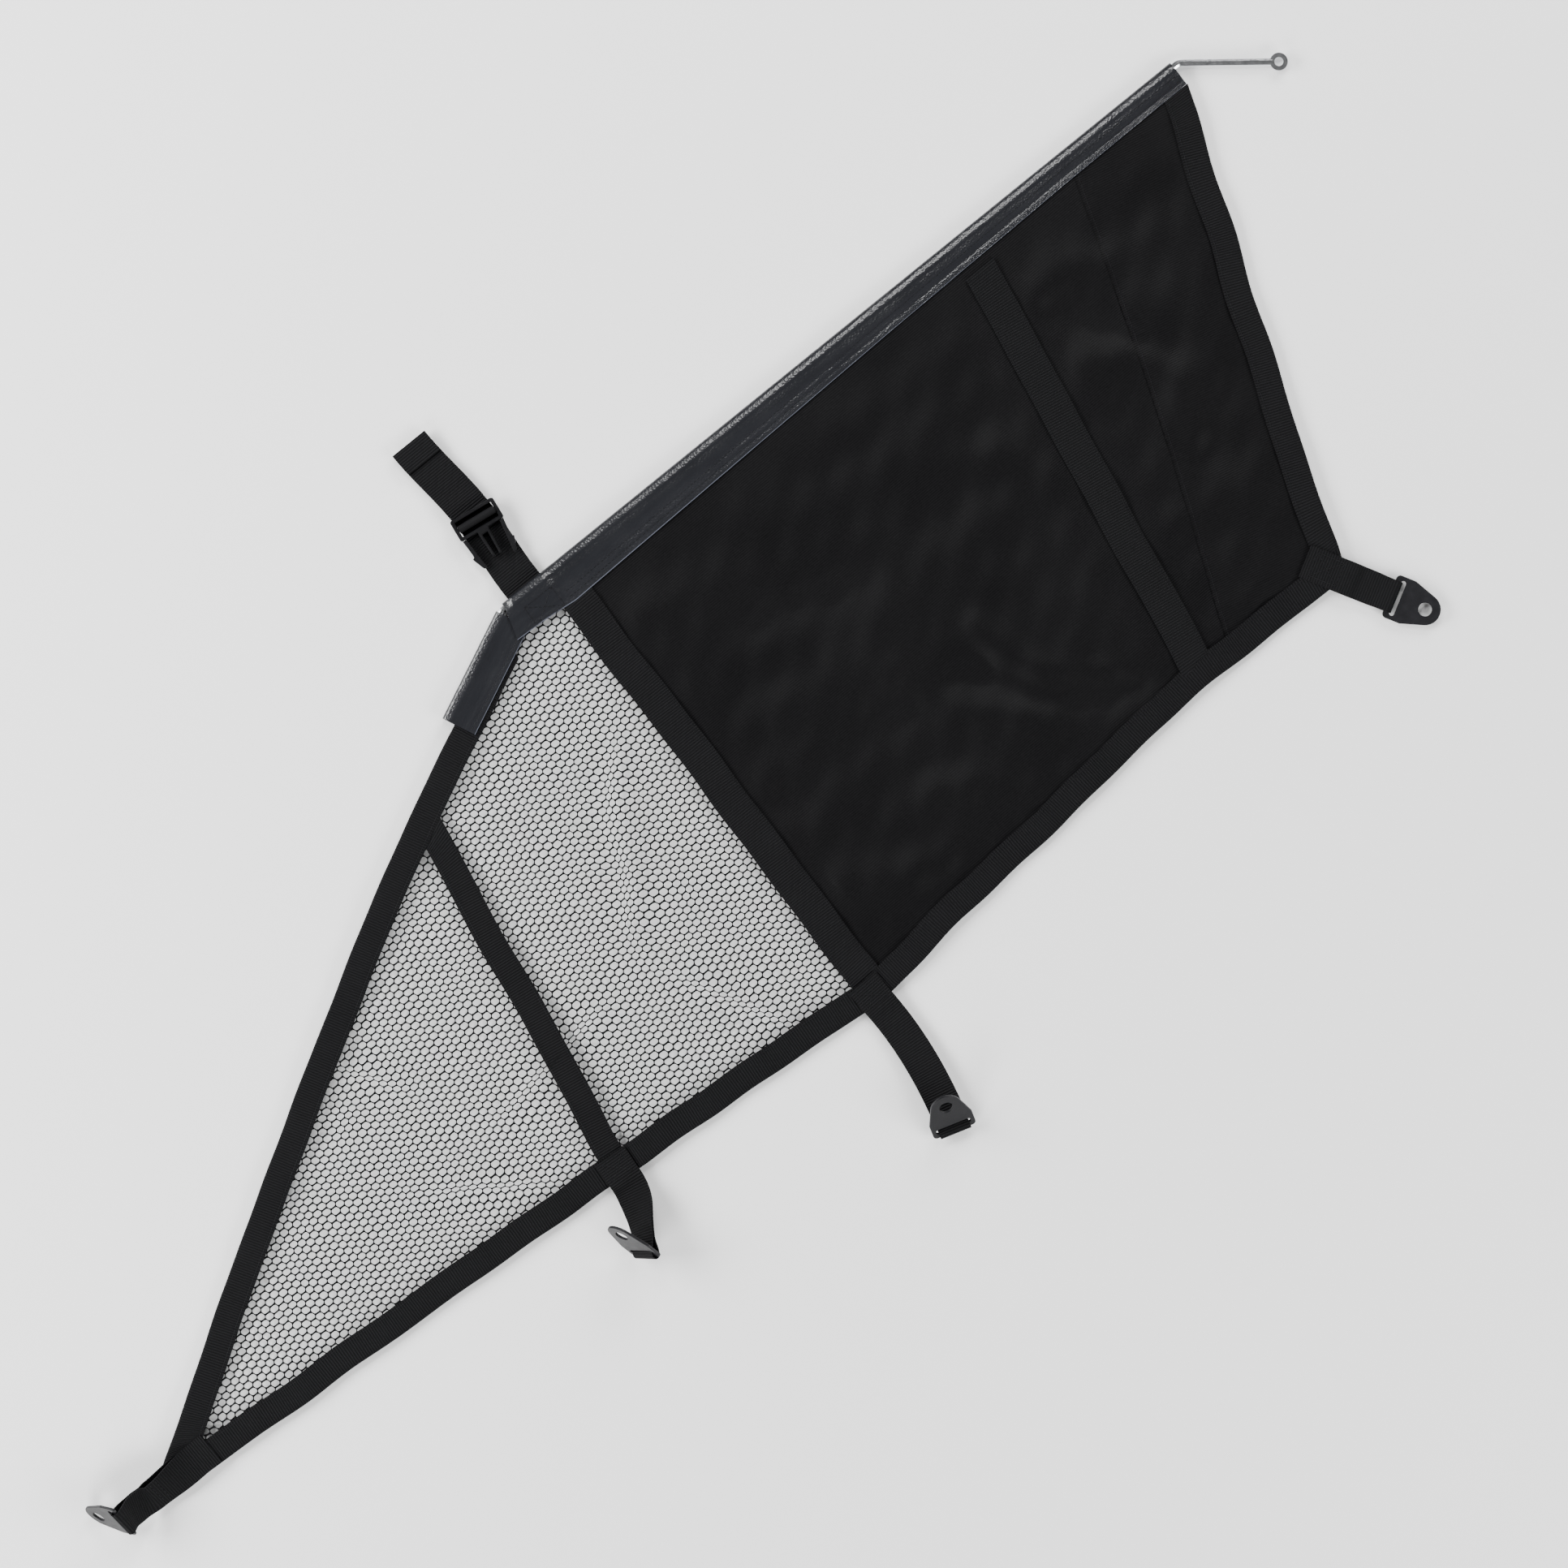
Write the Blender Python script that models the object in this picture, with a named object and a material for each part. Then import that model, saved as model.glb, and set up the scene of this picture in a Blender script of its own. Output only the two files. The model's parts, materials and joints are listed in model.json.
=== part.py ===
"""Side window net of an off-road vehicle, lying flat: a bent steel rod in vinyl sleeves, mesh and cloth
panels with folded webbing edges, four webbing tabs with steel anchor plates, and a strap with a buckle.

Metres, +Z up. Plan positions are measured from the rod's front bend: +X runs back along the rod,
-Y runs down across the net. At the end everything moves so that the origin is under the box's middle.
"""

from math import asin, atan2, ceil, cos, pi, radians, sin, sqrt, tan

import bmesh
import bpy
from mathutils import Matrix, Vector

MM = 0.001

# Fits
GAP = 0.3 * MM  # between pieces that touch on the real net

# Rod
ROD_DIAMETER = 5.5 * MM
ROD_LONG_LEG = 632 * MM  # front bend to rear bend
ROD_SHORT_LEG = 86 * MM
ROD_ARM = 73 * MM  # rear bend to the middle of the eye
FRONT_BEND = radians(24.4)
REAR_BEND = radians(38.3)
BEND_RADIUS = 8 * MM
EYE_DIAMETER = 13 * MM
EYE_HOLE = 6.6 * MM
EYE_THICKNESS = 4 * MM

# Vinyl sleeves
VINYL = 1.0 * MM
SHORT_SLEEVE_LENGTH = 90 * MM
SHORT_SLEEVE_DEPTH = 22.8 * MM  # rod axis to the flaps' edge
MITRE = 0.315  # the sleeves' ends at the bend slope by this much
SLEEVE_START = 2.4 * MM  # front bend to each sleeve's end, on the rod axis
SLEEVE_BACK = 5 * MM  # long sleeve's end to the rear bend
# How far the long sleeve's flaps reach down at places along it, as shares of its length
LONG_SLEEVE_DEPTHS = (
    (0.0, 24 * MM),
    (0.03, 25 * MM),
    (0.07, 28 * MM),
    (0.55, 20 * MM),
    (0.83, 16.5 * MM),
    (1.0, 15.5 * MM),
)

# Cloth and webbing
PANEL = 1.0 * MM
WEBBING = 1.2 * MM
BINDING_WIDTH = 20 * MM
FRONT_STRAP_WIDTH = 20 * MM
CROSS_STRAP_WIDTH = 25 * MM
STRAP_INSET = 6 * MM  # the panels' top edge below the rod axis
EDGE_FROM_ROD = 6 * MM  # front binding's edge below the short leg's axis

# The net's outline: how far its tip reaches forward, its back corner and how far it hangs down
TIP_REACH = 600 * MM
NET_DROP = 367 * MM
CORNER_BACK = 492.6 * MM
FRONT_EDGE_TURN = (-119.5 * MM, -61 * MM)

# Cross straps and seam: (x at the top, x at the foot); the feet are at NET_DROP
FRONT_STRAP_X = (-125.5 * MM, -189.6 * MM)
MIDDLE_STRAP_X = (49 * MM, 37 * MM)
REAR_STRAP_X = (429 * MM, 363 * MM)
SEAM_X = (523 * MM, 387 * MM)
REAR_STRAP_TOP = 7 * MM  # the rear strap starts this far below the sleeve
FOLD_AHEAD = 1.7 * MM  # the fold line in front of the front strap's edge

# Tabs and anchor plates
TAB_WIDTH = 25 * MM
PLATE_THICKNESS = 2 * MM
PLATE_WIDTH = TAB_WIDTH + 8 * MM  # leaves a rim at both ends of its slot
PLATE_BAR = 4.3 * MM  # the bar that the webbing goes round
PLATE_SLOT = 4 * MM
SLOT_SIDE = 1 * MM  # slot longer than the tab's width by this much at each end
PLATE_HOLE = 10 * MM
HOLE_FROM_BAR = 25.7 * MM
TIP_RADIUS = 11.5 * MM
SHOULDER = 12 * MM  # the plate's parallel part past the middle of the bar
CORNER_RADIUS = 3 * MM
LOOP_LEAD = 12 * MM  # where a tab's two layers part to go round the bar

# Buckle and its strap
BUCKLE_STRAP_WIDTH = 30 * MM
BUCKLE_STRAP_LENGTH = 133 * MM
BUCKLE_STRAP_X = 23 * MM
BUCKLE_STRAP_LEAN = 4 * MM  # how far its middle bows back
HEM_LENGTH = 18 * MM
BUCKLE_AT = 58.5 * MM  # sleeve to the buckle's middle bar
BUCKLE_HEADING = radians(82)
BUCKLE_RAIL = 2.8 * MM
BUCKLE_BAR = 2.6 * MM
BUCKLE_SLOT = 4.6 * MM
BUCKLE_THICKNESS = 4.4 * MM
GUIDE_LENGTH = 21 * MM
GUIDE_WIDTH = 9 * MM
ARM_LENGTH = 25 * MM
ARM_WIDTH = 3 * MM
ARM_BARB = 4 * MM
ARM_THICKNESS = 3.4 * MM

rod_radius = ROD_DIAMETER / 2
mid_z = rod_radius + GAP + VINYL  # the rod's axis and the middle of the cloth
half_binding = WEBBING + GAP + PANEL / 2
layer_offset = WEBBING / 2 + GAP / 2  # from a doubled tab's middle to each layer's middle
tab_half = WEBBING + GAP / 2


# ---- scene -------------------------------------------------------------------------------------

for leftover in list(bpy.data.objects):
    bpy.data.objects.remove(leftover, do_unlink=True)


def collection(name, hidden=False):
    made = bpy.data.collections.new(name)
    bpy.context.scene.collection.children.link(made)
    made.hide_render = hidden
    return made


net_parts = collection("window_net")
cutters = collection("cutters", hidden=True)
datum = bpy.data.objects.new("net_datum", None)
net_parts.objects.link(datum)


def material(name, colour, roughness, metallic=0.0):
    made = bpy.data.materials.new(name)
    made.use_nodes = True
    shader = made.node_tree.nodes["Principled BSDF"]
    shader.inputs["Base Color"].default_value = (*colour, 1)
    shader.inputs["Roughness"].default_value = roughness
    shader.inputs["Metallic"].default_value = metallic
    return made


rod_steel = material("rod_steel", (0.75, 0.76, 0.78), 0.25, 1.0)
sleeve_vinyl = material("sleeve_vinyl", (0.024, 0.026, 0.034), 0.45)
net_mesh = material("net_mesh", (0.008, 0.008, 0.009), 0.6)
shade_cloth = material("shade_cloth", (0.006, 0.006, 0.007), 0.75)
webbing_black = material("webbing_black", (0.008, 0.008, 0.009), 0.65)
plate_black = material("plate_black", (0.012, 0.012, 0.014), 0.4)
buckle_black = material("buckle_black", (0.01, 0.01, 0.011), 0.35)


def hinge_at(name, at, parent=None):
    """An empty on a joint's axis, at a place given in the datum's frame."""
    hinge = bpy.data.objects.new(name, None)
    net_parts.objects.link(hinge)
    hinge.parent = parent or datum
    hinge.matrix_basis = Matrix.Translation(at - parent.location if parent else at)
    return hinge


def place(shape, skin, parent=None, matrix=None):
    """Puts an object in the net's collection, under an empty, with its material."""
    net_parts.objects.link(shape)
    shape.data.materials.append(skin)
    shape.parent = parent or datum
    if matrix is not None:
        shape.matrix_basis = matrix
    return shape


def place_on(hinge, shape, skin):
    """Puts an object made in the datum's frame under a hinge that hangs on the datum."""
    return place(shape, skin, hinge, hinge and hinge.matrix_basis.inverted())


# ---- plan geometry -----------------------------------------------------------------------------


def smooth(points, steps=4):
    """A Catmull-Rom curve through plan points."""
    points = [Vector(p) for p in points]
    ends = [2 * points[0] - points[1], *points, 2 * points[-1] - points[-2]]
    curve = []
    for a, b, c, d in zip(ends, ends[1:], ends[2:], ends[3:]):
        for i in range(steps):
            t = i / steps
            square, cube = 2 * a - 5 * b + 4 * c - d, 3 * b - a - 3 * c + d
            curve.append(0.5 * (2 * b + (c - a) * t + square * t**2 + cube * t**3))
    return [*curve, points[-1]]


def left_of(direction):
    return Vector((-direction.y, direction.x)).normalized()


def offset(line, distance):
    """The plan line moved to its left, its corners mitred."""
    moved = []
    for i, point in enumerate(line):
        before = left_of(point - line[i - 1]) if i else None
        after = left_of(line[i + 1] - point) if i < len(line) - 1 else None
        before, after = before or after, after or before
        middle = (before + after).normalized()
        moved.append(point + middle * distance / middle.dot(before))
    return moved


def split(line, a, b):
    """The plan line cut by the straight line through a and b: the part before and the part after."""
    normal = left_of(b - a)
    sides = [(p - a).dot(normal) for p in line]
    for i, (one, two) in enumerate(zip(sides, sides[1:])):
        if one * two <= 0 and one != two:
            crossing = line[i].lerp(line[i + 1], one / (one - two))
            return [*line[: i + 1], crossing], [crossing, *line[i + 1 :]]
    # Beyond its ends the line runs on straight
    near_end = abs(sides[-1]) < abs(sides[0])
    start, step = (line[-1], line[-1] - line[-2]) if near_end else (line[0], line[0] - line[1])
    crossing = start - step * ((start - a).dot(normal) / step.dot(normal))
    if near_end:
        return [*line, crossing], [crossing, crossing + step]
    return [crossing - step, crossing], [crossing, *line]


def crossing(line, a, b):
    return split(line, a, b)[0][-1]


# ---- solids ------------------------------------------------------------------------------------


def loft(name, rings, cyclic=False):
    """A closed solid through rings of points, each ring the same number of points."""
    shape = bmesh.new()
    rows = [[shape.verts.new(p) for p in ring] for ring in rings]
    pairs = list(zip(rows, rows[1:] + rows[:1])) if cyclic else list(zip(rows, rows[1:]))
    for row, following in pairs:
        for i in range(len(row)):
            j = (i + 1) % len(row)
            shape.faces.new((row[i], row[j], following[j], following[i]))
    if not cyclic:
        shape.faces.new(rows[0])
        shape.faces.new(rows[-1])
    bmesh.ops.recalc_face_normals(shape, faces=shape.faces)
    bmesh.ops.triangulate(shape, faces=[f for f in shape.faces if len(f.verts) > 4])
    mesh = bpy.data.meshes.new(name)
    shape.to_mesh(mesh)
    shape.free()
    return bpy.data.objects.new(name, mesh)


def flat_piece(name, outlines, thickness, edge=0.0):
    """A flat solid from a closed plan outline and the outlines of its holes, with eased edges."""
    curve = bpy.data.curves.new(name, "CURVE")
    curve.dimensions = "2D"
    curve.fill_mode = "BOTH"
    curve.extrude = thickness / 2 - edge
    curve.bevel_depth = edge
    curve.bevel_resolution = 0
    curve.offset = -edge
    for outline in outlines:
        spline = curve.splines.new("POLY")
        spline.points.add(len(outline) - 1)
        for point, at in zip(spline.points, outline):
            point.co = (at[0], at[1], 0, 1)
        spline.use_cyclic_u = True
    return bpy.data.objects.new(name, curve)


def as_mesh(shape):
    """The object's evaluated shape as a new mesh object with its caps welded; the curve goes."""
    bpy.context.scene.collection.objects.link(shape)
    graph = bpy.context.evaluated_depsgraph_get()
    mesh = bpy.data.meshes.new_from_object(shape.evaluated_get(graph))
    name = shape.name
    bpy.data.objects.remove(shape, do_unlink=True)
    welded = bmesh.new()
    welded.from_mesh(mesh)
    bmesh.ops.remove_doubles(welded, verts=welded.verts, dist=0.00001)
    welded.to_mesh(mesh)
    welded.free()
    return bpy.data.objects.new(name, mesh)


def arc(centre, radius, start, end, count):
    """Plan points on an arc, its ends included."""
    turns = [start + (end - start) * i / (count - 1) for i in range(count)]
    return [Vector((centre[0] + radius * cos(a), centre[1] + radius * sin(a))) for a in turns]


def disc(name, diameter, height, at, sides=32):
    bpy.ops.mesh.primitive_cylinder_add(vertices=sides, radius=diameter / 2, depth=height, location=at)
    made = bpy.context.object
    made.name = name
    for home in list(made.users_collection):
        home.objects.unlink(made)
    cutters.objects.link(made)
    made.hide_render = True
    made.display_type = "WIRE"
    made.parent = datum
    return made


def cut_or_join(shape, tool, operation):
    change = shape.modifiers.new(f"{operation.lower()}_{tool.name}", "BOOLEAN")
    change.operation = operation
    change.object = tool
    change.solver = "EXACT"


# ---- rod ---------------------------------------------------------------------------------------

bend_setback = BEND_RADIUS * tan(FRONT_BEND / 2)
arm_way = Vector((cos(REAR_BEND), -sin(REAR_BEND)))
leg_way = Vector((-cos(FRONT_BEND), -sin(FRONT_BEND)))
rear_bend_at = Vector((ROD_LONG_LEG, 0))
rear_setback = BEND_RADIUS * tan(REAR_BEND / 2)
eye_at = rear_bend_at + arm_way * ROD_ARM


def rod():
    """Round bar with two bends, its back end forged into a flat eye."""
    route = [leg_way * ROD_SHORT_LEG]
    route += arc((bend_setback, -BEND_RADIUS), BEND_RADIUS, pi / 2 + FRONT_BEND, pi / 2, 7)
    route += arc((ROD_LONG_LEG - rear_setback, -BEND_RADIUS), BEND_RADIUS, pi / 2, pi / 2 - REAR_BEND, 9)
    route.append(eye_at - arm_way * (EYE_DIAMETER + EYE_HOLE) / 4)
    line = bpy.data.curves.new("frame_rod", "CURVE")
    line.dimensions = "3D"
    line.bevel_depth = rod_radius
    line.bevel_resolution = 3
    line.use_fill_caps = True
    spline = line.splines.new("POLY")
    spline.points.add(len(route) - 1)
    for point, at in zip(spline.points, route):
        point.co = (at.x, at.y, mid_z, 1)
    made = as_mesh(bpy.data.objects.new("frame_rod", line))
    place(made, rod_steel)
    centre = (eye_at.x, eye_at.y, mid_z)
    cut_or_join(made, disc("eye_disc", EYE_DIAMETER, EYE_THICKNESS, centre), "UNION")
    cut_or_join(made, disc("eye_hole", EYE_HOLE, 3 * EYE_THICKNESS, centre), "DIFFERENCE")


rod()


# ---- sleeves -----------------------------------------------------------------------------------


def sleeve_ring(depth, inner_half):
    """One section of a sleeve, across the rod: y along the flaps, z up, round the rod at 0, 0."""
    inner, outer = rod_radius + GAP, rod_radius + GAP + VINYL
    outer_half = inner_half + VINYL
    ring = [(-depth, inner_half)]
    turn = asin(inner_half / inner)
    ring += [tuple(p) for p in arc((0, 0), inner, pi - turn, turn - pi, 17)]
    ring += [(-depth, -inner_half), (-depth, -outer_half)]
    turn = asin(outer_half / outer)
    ring += [tuple(p) for p in arc((0, 0), outer, turn - pi, pi - turn, 17)]
    ring.append((-depth, outer_half))
    return ring


def sleeve_along(name, stations, inner_half, along, inward, slope):
    """Vinyl round a leg of the rod, its flaps on both sides of the cloth. Its end at the bend slopes."""
    rings = []
    for i, (distance, depth) in enumerate(stations):
        ring = []
        for y, z in sleeve_ring(depth, inner_half):
            reach = distance - slope * y if i == 0 else distance
            at = along * reach - inward * y
            ring.append((at.x, at.y, mid_z + z))
        rings.append(ring)
    place(loft(name, rings), sleeve_vinyl)


long_sleeve_end = ROD_LONG_LEG - SLEEVE_BACK
long_sleeve_length = long_sleeve_end - SLEEVE_START
long_stations = [(SLEEVE_START + share * long_sleeve_length, depth) for share, depth in LONG_SLEEVE_DEPTHS]
down = Vector((0, -1))
sleeve_along("long_sleeve", long_stations, PANEL / 2 + GAP, Vector((1, 0)), down, -MITRE)

leg_inward = Vector((sin(FRONT_BEND), -cos(FRONT_BEND)))
# The short sleeve's end runs parallel to the long one's, seen from its own leg
short_slope = (leg_inward.x - MITRE * leg_inward.y) / (MITRE * leg_way.y - leg_way.x)
short_stations = [(SLEEVE_START + GAP, SHORT_SLEEVE_DEPTH), (SHORT_SLEEVE_LENGTH, SHORT_SLEEVE_DEPTH)]
sleeve_along("short_sleeve", short_stations, half_binding + GAP, leg_way, leg_inward, short_slope)

sleeve_foot = [Vector((x, -depth)) for x, depth in long_stations]


# ---- the net's outline -------------------------------------------------------------------------

edge_start = leg_way * (SLEEVE_START + 6 * MM) + leg_inward * EDGE_FROM_ROD
edge_turn = Vector(FRONT_EDGE_TURN)
tip_height = -(NET_DROP - 17 * MM)
# The front edge bows a little forward between the sleeve and the tip
front_edge = smooth(
    [
        edge_start,
        edge_turn,
        edge_turn.lerp(Vector((-TIP_REACH, tip_height)), 0.22) + Vector((-3.5 * MM, 8 * MM)),
        edge_turn.lerp(Vector((-TIP_REACH, tip_height)), 0.63) + Vector((0, 15 * MM)),
        Vector((-TIP_REACH, tip_height + 12 * MM)),
    ]
)
# The bottom edge bows down, most where the middle tab is sewn on
middle_foot = (MIDDLE_STRAP_X[1], -NET_DROP - 28 * MM)
bottom_edge = smooth(
    [
        (-TIP_REACH, tip_height),
        (-0.56 * TIP_REACH, -NET_DROP + 1 * MM),
        (FRONT_STRAP_X[1] + 20 * MM, -NET_DROP - 11 * MM),
        (middle_foot[0] - 40 * MM, middle_foot[1] + 4 * MM),
        middle_foot,
        (middle_foot[0] + 60 * MM, middle_foot[1] + 8 * MM),
        (REAR_STRAP_X[1] - 100 * MM, -NET_DROP - 6 * MM),
        (REAR_STRAP_X[1] - 22 * MM, -NET_DROP + 1 * MM),
        (CORNER_BACK, -NET_DROP),
    ]
)
rear_edge = smooth(
    [
        (CORNER_BACK, -NET_DROP),
        (CORNER_BACK + 39 * MM, -0.715 * NET_DROP),
        (CORNER_BACK + 102 * MM, -0.274 * NET_DROP),
        (long_sleeve_end + 1 * MM, -LONG_SLEEVE_DEPTHS[-1][1] - GAP),
    ]
)


def strap_sides(ends, width):
    """The two long edges of a straight cross strap, front edge first, each as a top and a foot point."""
    top, foot = Vector((ends[0], -STRAP_INSET)), Vector((ends[1], -NET_DROP))
    across = left_of(top - foot) * width / 2
    return [(top + across, foot + across), (top - across, foot - across)]


front_sides = strap_sides(FRONT_STRAP_X, FRONT_STRAP_WIDTH)
fold_shift = left_of(front_sides[0][0] - front_sides[0][1]) * (FOLD_AHEAD + GAP)
fold_top, fold_foot = (p + fold_shift for p in front_sides[0])
fold_side = left_of(fold_top - fold_foot) * GAP / 2  # half of the gap at the fold line, towards the tip
# The point of the net folds up about the top of its bindings
fold_hinge = hinge_at("front_point_hinge", fold_top.to_3d() + Vector((0, 0, mid_z + half_binding)))


def bound_channel(name, edge, start_way=None, end_way=None, hinge=None):
    """Webbing folded over the cloth's edge: a channel, the net to its left. Its ends may be sloped."""
    low, high = PANEL / 2 + GAP, half_binding
    r = WEBBING
    profile = [(BINDING_WIDTH, low), (WEBBING, low), (WEBBING, -low)]
    profile += [(BINDING_WIDTH, -low), (BINDING_WIDTH, -high)]
    profile += [(r * (1 - sin(a)), -high + r * (1 - cos(a))) for a in (0, pi / 4, pi / 2)]
    profile += [(r * (1 - cos(a)), high - r * (1 - sin(a))) for a in (0, pi / 4, pi / 2)]
    profile.append((BINDING_WIDTH, high))
    if start_way is not None:
        along = (edge[1] - edge[0]).normalized()
        lean = BINDING_WIDTH * start_way.dot(along) / start_way.dot(left_of(along))
        edge = [edge[0], *(p for p in edge[1:] if (p - edge[0]).dot(along) > max(lean, 0) + WEBBING)]
    if end_way is not None:
        along = (edge[-2] - edge[-1]).normalized()
        lean = BINDING_WIDTH * end_way.dot(along) / end_way.dot(-left_of(along))
        edge = [*(p for p in edge[:-1] if (p - edge[-1]).dot(along) > max(lean, 0) + WEBBING), edge[-1]]
    one = offset(edge, 1.0 * MM)
    rings = []
    for i, point in enumerate(edge):
        step = (one[i] - point) / (1.0 * MM)
        way = start_way if i == 0 else end_way if i == len(edge) - 1 else None
        if way is not None:
            normal = left_of(edge[1] - edge[0]) if i == 0 else left_of(edge[-1] - edge[-2])
            step = way / way.dot(normal)
        rings.append([(*(point + step * d), mid_z + z) for d, z in profile])
    return place_on(hinge, loft(name, rings), webbing_black)


def inset(edge, distance):
    """The edge moved into the net, the net to its left."""
    return offset(edge, distance)


slot_depth = WEBBING + GAP
bottom_inner = inset(bottom_edge, BINDING_WIDTH + GAP)
front_down = front_edge[:]  # from the sleeve to the tip, the net to its left
rear_up = rear_edge[:]  # from the corner up to the sleeve, the net to its left

# Front edge: split at the fold line, its lower end cut along the bottom binding
upper_front, lower_front = split(front_down, fold_top, fold_foot)
fold_way = (fold_foot - fold_top).normalized()
tip_cut = bottom_inner[0], bottom_inner[3]
lower_front = split(lower_front, *tip_cut)[0]
tip_way = (bottom_inner[3] - bottom_inner[0]).normalized()
mitre_way = Vector((-MITRE, -1)).normalized()
upper_front[-1] = crossing(upper_front, fold_top - fold_side, fold_foot - fold_side)
lower_front[0] = crossing(front_down, fold_top + fold_side, fold_foot + fold_side)
bound_channel("front_binding_upper", upper_front, mitre_way, fold_way)
bound_channel("front_binding_lower", lower_front, fold_way, tip_way, fold_hinge)

# Bottom edge: split at the fold line, its back end cut along the rear edge
bottom_front, bottom_rear = split(bottom_edge, fold_top, fold_foot)
bottom_front[-1] = crossing(bottom_front, fold_top + fold_side, fold_foot + fold_side)
bottom_rear[0] = crossing(bottom_edge, fold_top - fold_side, fold_foot - fold_side)
rear_way = (rear_up[1] - rear_up[0]).normalized()
bound_channel("bottom_binding_front", bottom_front, None, -fold_way, fold_hinge)
bound_channel("bottom_binding_rear", bottom_rear, -fold_way, rear_way)

# Rear edge: its lower end cut along the bottom binding, its upper end along the sleeve
rear_cut = split(rear_up, bottom_inner[-1], bottom_inner[-2])[1]
sleeve_clear = [p + down * GAP for p in sleeve_foot]
rear_cut = split(rear_cut, sleeve_clear[-2], sleeve_clear[-1])[0]
bottom_end_way = (bottom_inner[-2] - bottom_inner[-1]).normalized()
sleeve_end_way = (sleeve_clear[-2] - sleeve_clear[-1]).normalized()
bound_channel("rear_binding", rear_cut, bottom_end_way, sleeve_end_way)


# ---- panels ------------------------------------------------------------------------------------


def panel(name, outline, skin, hinge=None):
    rings = [[(p.x, p.y, mid_z + z) for p in outline] for z in (-PANEL / 2, PANEL / 2)]
    return place_on(hinge, loft(name, rings), skin)


front_inset = inset(front_down, slot_depth)
bottom_inset = inset(bottom_edge, slot_depth)
rear_inset = inset(rear_up, slot_depth)


def beyond(line, a, b):
    return split(line, a, b)[1]


def until(line, a, b):
    return split(line, a, b)[0]


# Front mesh: fold line, front edge, blunt end inside the bottom binding, bottom edge
to_fold = fold_top + fold_side, fold_foot + fold_side
front_part = until(beyond(front_inset, *to_fold), *tip_cut)
blunt = front_part[-1], front_part[-1] + Vector((0, -1))
panel("mesh_panel_front", front_part + until(beyond(bottom_inset, *blunt), *to_fold), net_mesh, fold_hinge)

# Middle mesh: from the fold line to under the middle strap, its top inside both sleeves
past_fold = fold_top - fold_side, fold_foot - fold_side
middle_line = Vector((MIDDLE_STRAP_X[0], -STRAP_INSET)), Vector((MIDDLE_STRAP_X[1], -NET_DROP))
middle_shift = Vector((GAP / 2, 0))
before_middle = [p - middle_shift for p in middle_line]
after_middle = [p + middle_shift for p in middle_line]
outline = until(front_inset, *past_fold)[::-1]
outline += [before_middle[0], crossing(bottom_inset, *before_middle)]
outline += until(beyond(bottom_inset, *past_fold), *before_middle)[-2::-1]
panel("mesh_panel_middle", outline, net_mesh)

# Main cloth: from the middle strap to the seam
seam_ends = Vector((SEAM_X[0], -STRAP_INSET)), Vector((SEAM_X[1], -NET_DROP))
seam = [seam_ends[0], Vector((SEAM_X[0] - 62 * MM, -NET_DROP / 2)), seam_ends[1]]
before_seam = [p - middle_shift for p in seam]
after_seam = [p + middle_shift for p in seam]
lower = until(beyond(bottom_inset, *after_middle), before_seam[1], before_seam[2])
panel("fabric_panel_main", [after_middle[0], *before_seam[:2], *lower[::-1]], shade_cloth)

# Rear cloth: from the seam to the rear edge
lower = beyond(bottom_inset, after_seam[1], after_seam[2])
rear_part = beyond(rear_inset, lower[-1], lower[-2])
rear_part = [p for p in rear_part if p.x < long_sleeve_end - 1 * MM]
lower = [p for p in lower if p.x < rear_part[0].x]
top_end = Vector((long_sleeve_end - 1 * MM, -STRAP_INSET))
panel("fabric_panel_rear", [after_seam[0], *after_seam[1:2], *lower, *rear_part, top_end], shade_cloth)


# ---- cross straps ------------------------------------------------------------------------------


def between(line, first, second):
    """The stretch of the plan line from one straight line to another."""
    if (line[-1] - line[0]).dot(second[0] - first[0]) < 0:
        line = line[::-1]
    return until(beyond(line, *first), *second)


def cross_strap(name, sides, top_line):
    """Webbing sewn on top of the cloth, its ends cut along what they meet."""
    corners = between(top_line, *sides)[::-1] + between(bottom_inner, *sides)
    low = mid_z + PANEL / 2 + GAP
    place(loft(name, [[(p.x, p.y, z) for p in corners] for z in (low, low + WEBBING)]), webbing_black)


front_inner = inset(front_down, BINDING_WIDTH + GAP)
cross_strap("cross_strap_front", front_sides, front_inner)
cross_strap("cross_strap_middle", strap_sides(MIDDLE_STRAP_X, CROSS_STRAP_WIDTH), sleeve_clear)
below_sleeve = [p + down * REAR_STRAP_TOP for p in sleeve_foot]
cross_strap("cross_strap_rear", strap_sides(REAR_STRAP_X, CROSS_STRAP_WIDTH), below_sleeve)


# ---- tabs and anchor plates --------------------------------------------------------------------

loop_radius = sqrt((PLATE_BAR / 2) ** 2 + (PLATE_THICKNESS / 2) ** 2) + GAP + WEBBING / 2


def unit(heading, rise=0.0):
    return Vector((cos(heading) * cos(rise), sin(heading) * cos(rise), sin(rise)))


def bar_frame(heading, tilt):
    """Level way past the bar, the way up past it, and the bar's own way. The bar is level at tilt 0."""
    bar = unit(heading + pi / 2, tilt)
    onward = unit(heading)
    return onward, onward.cross(bar), bar


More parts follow.
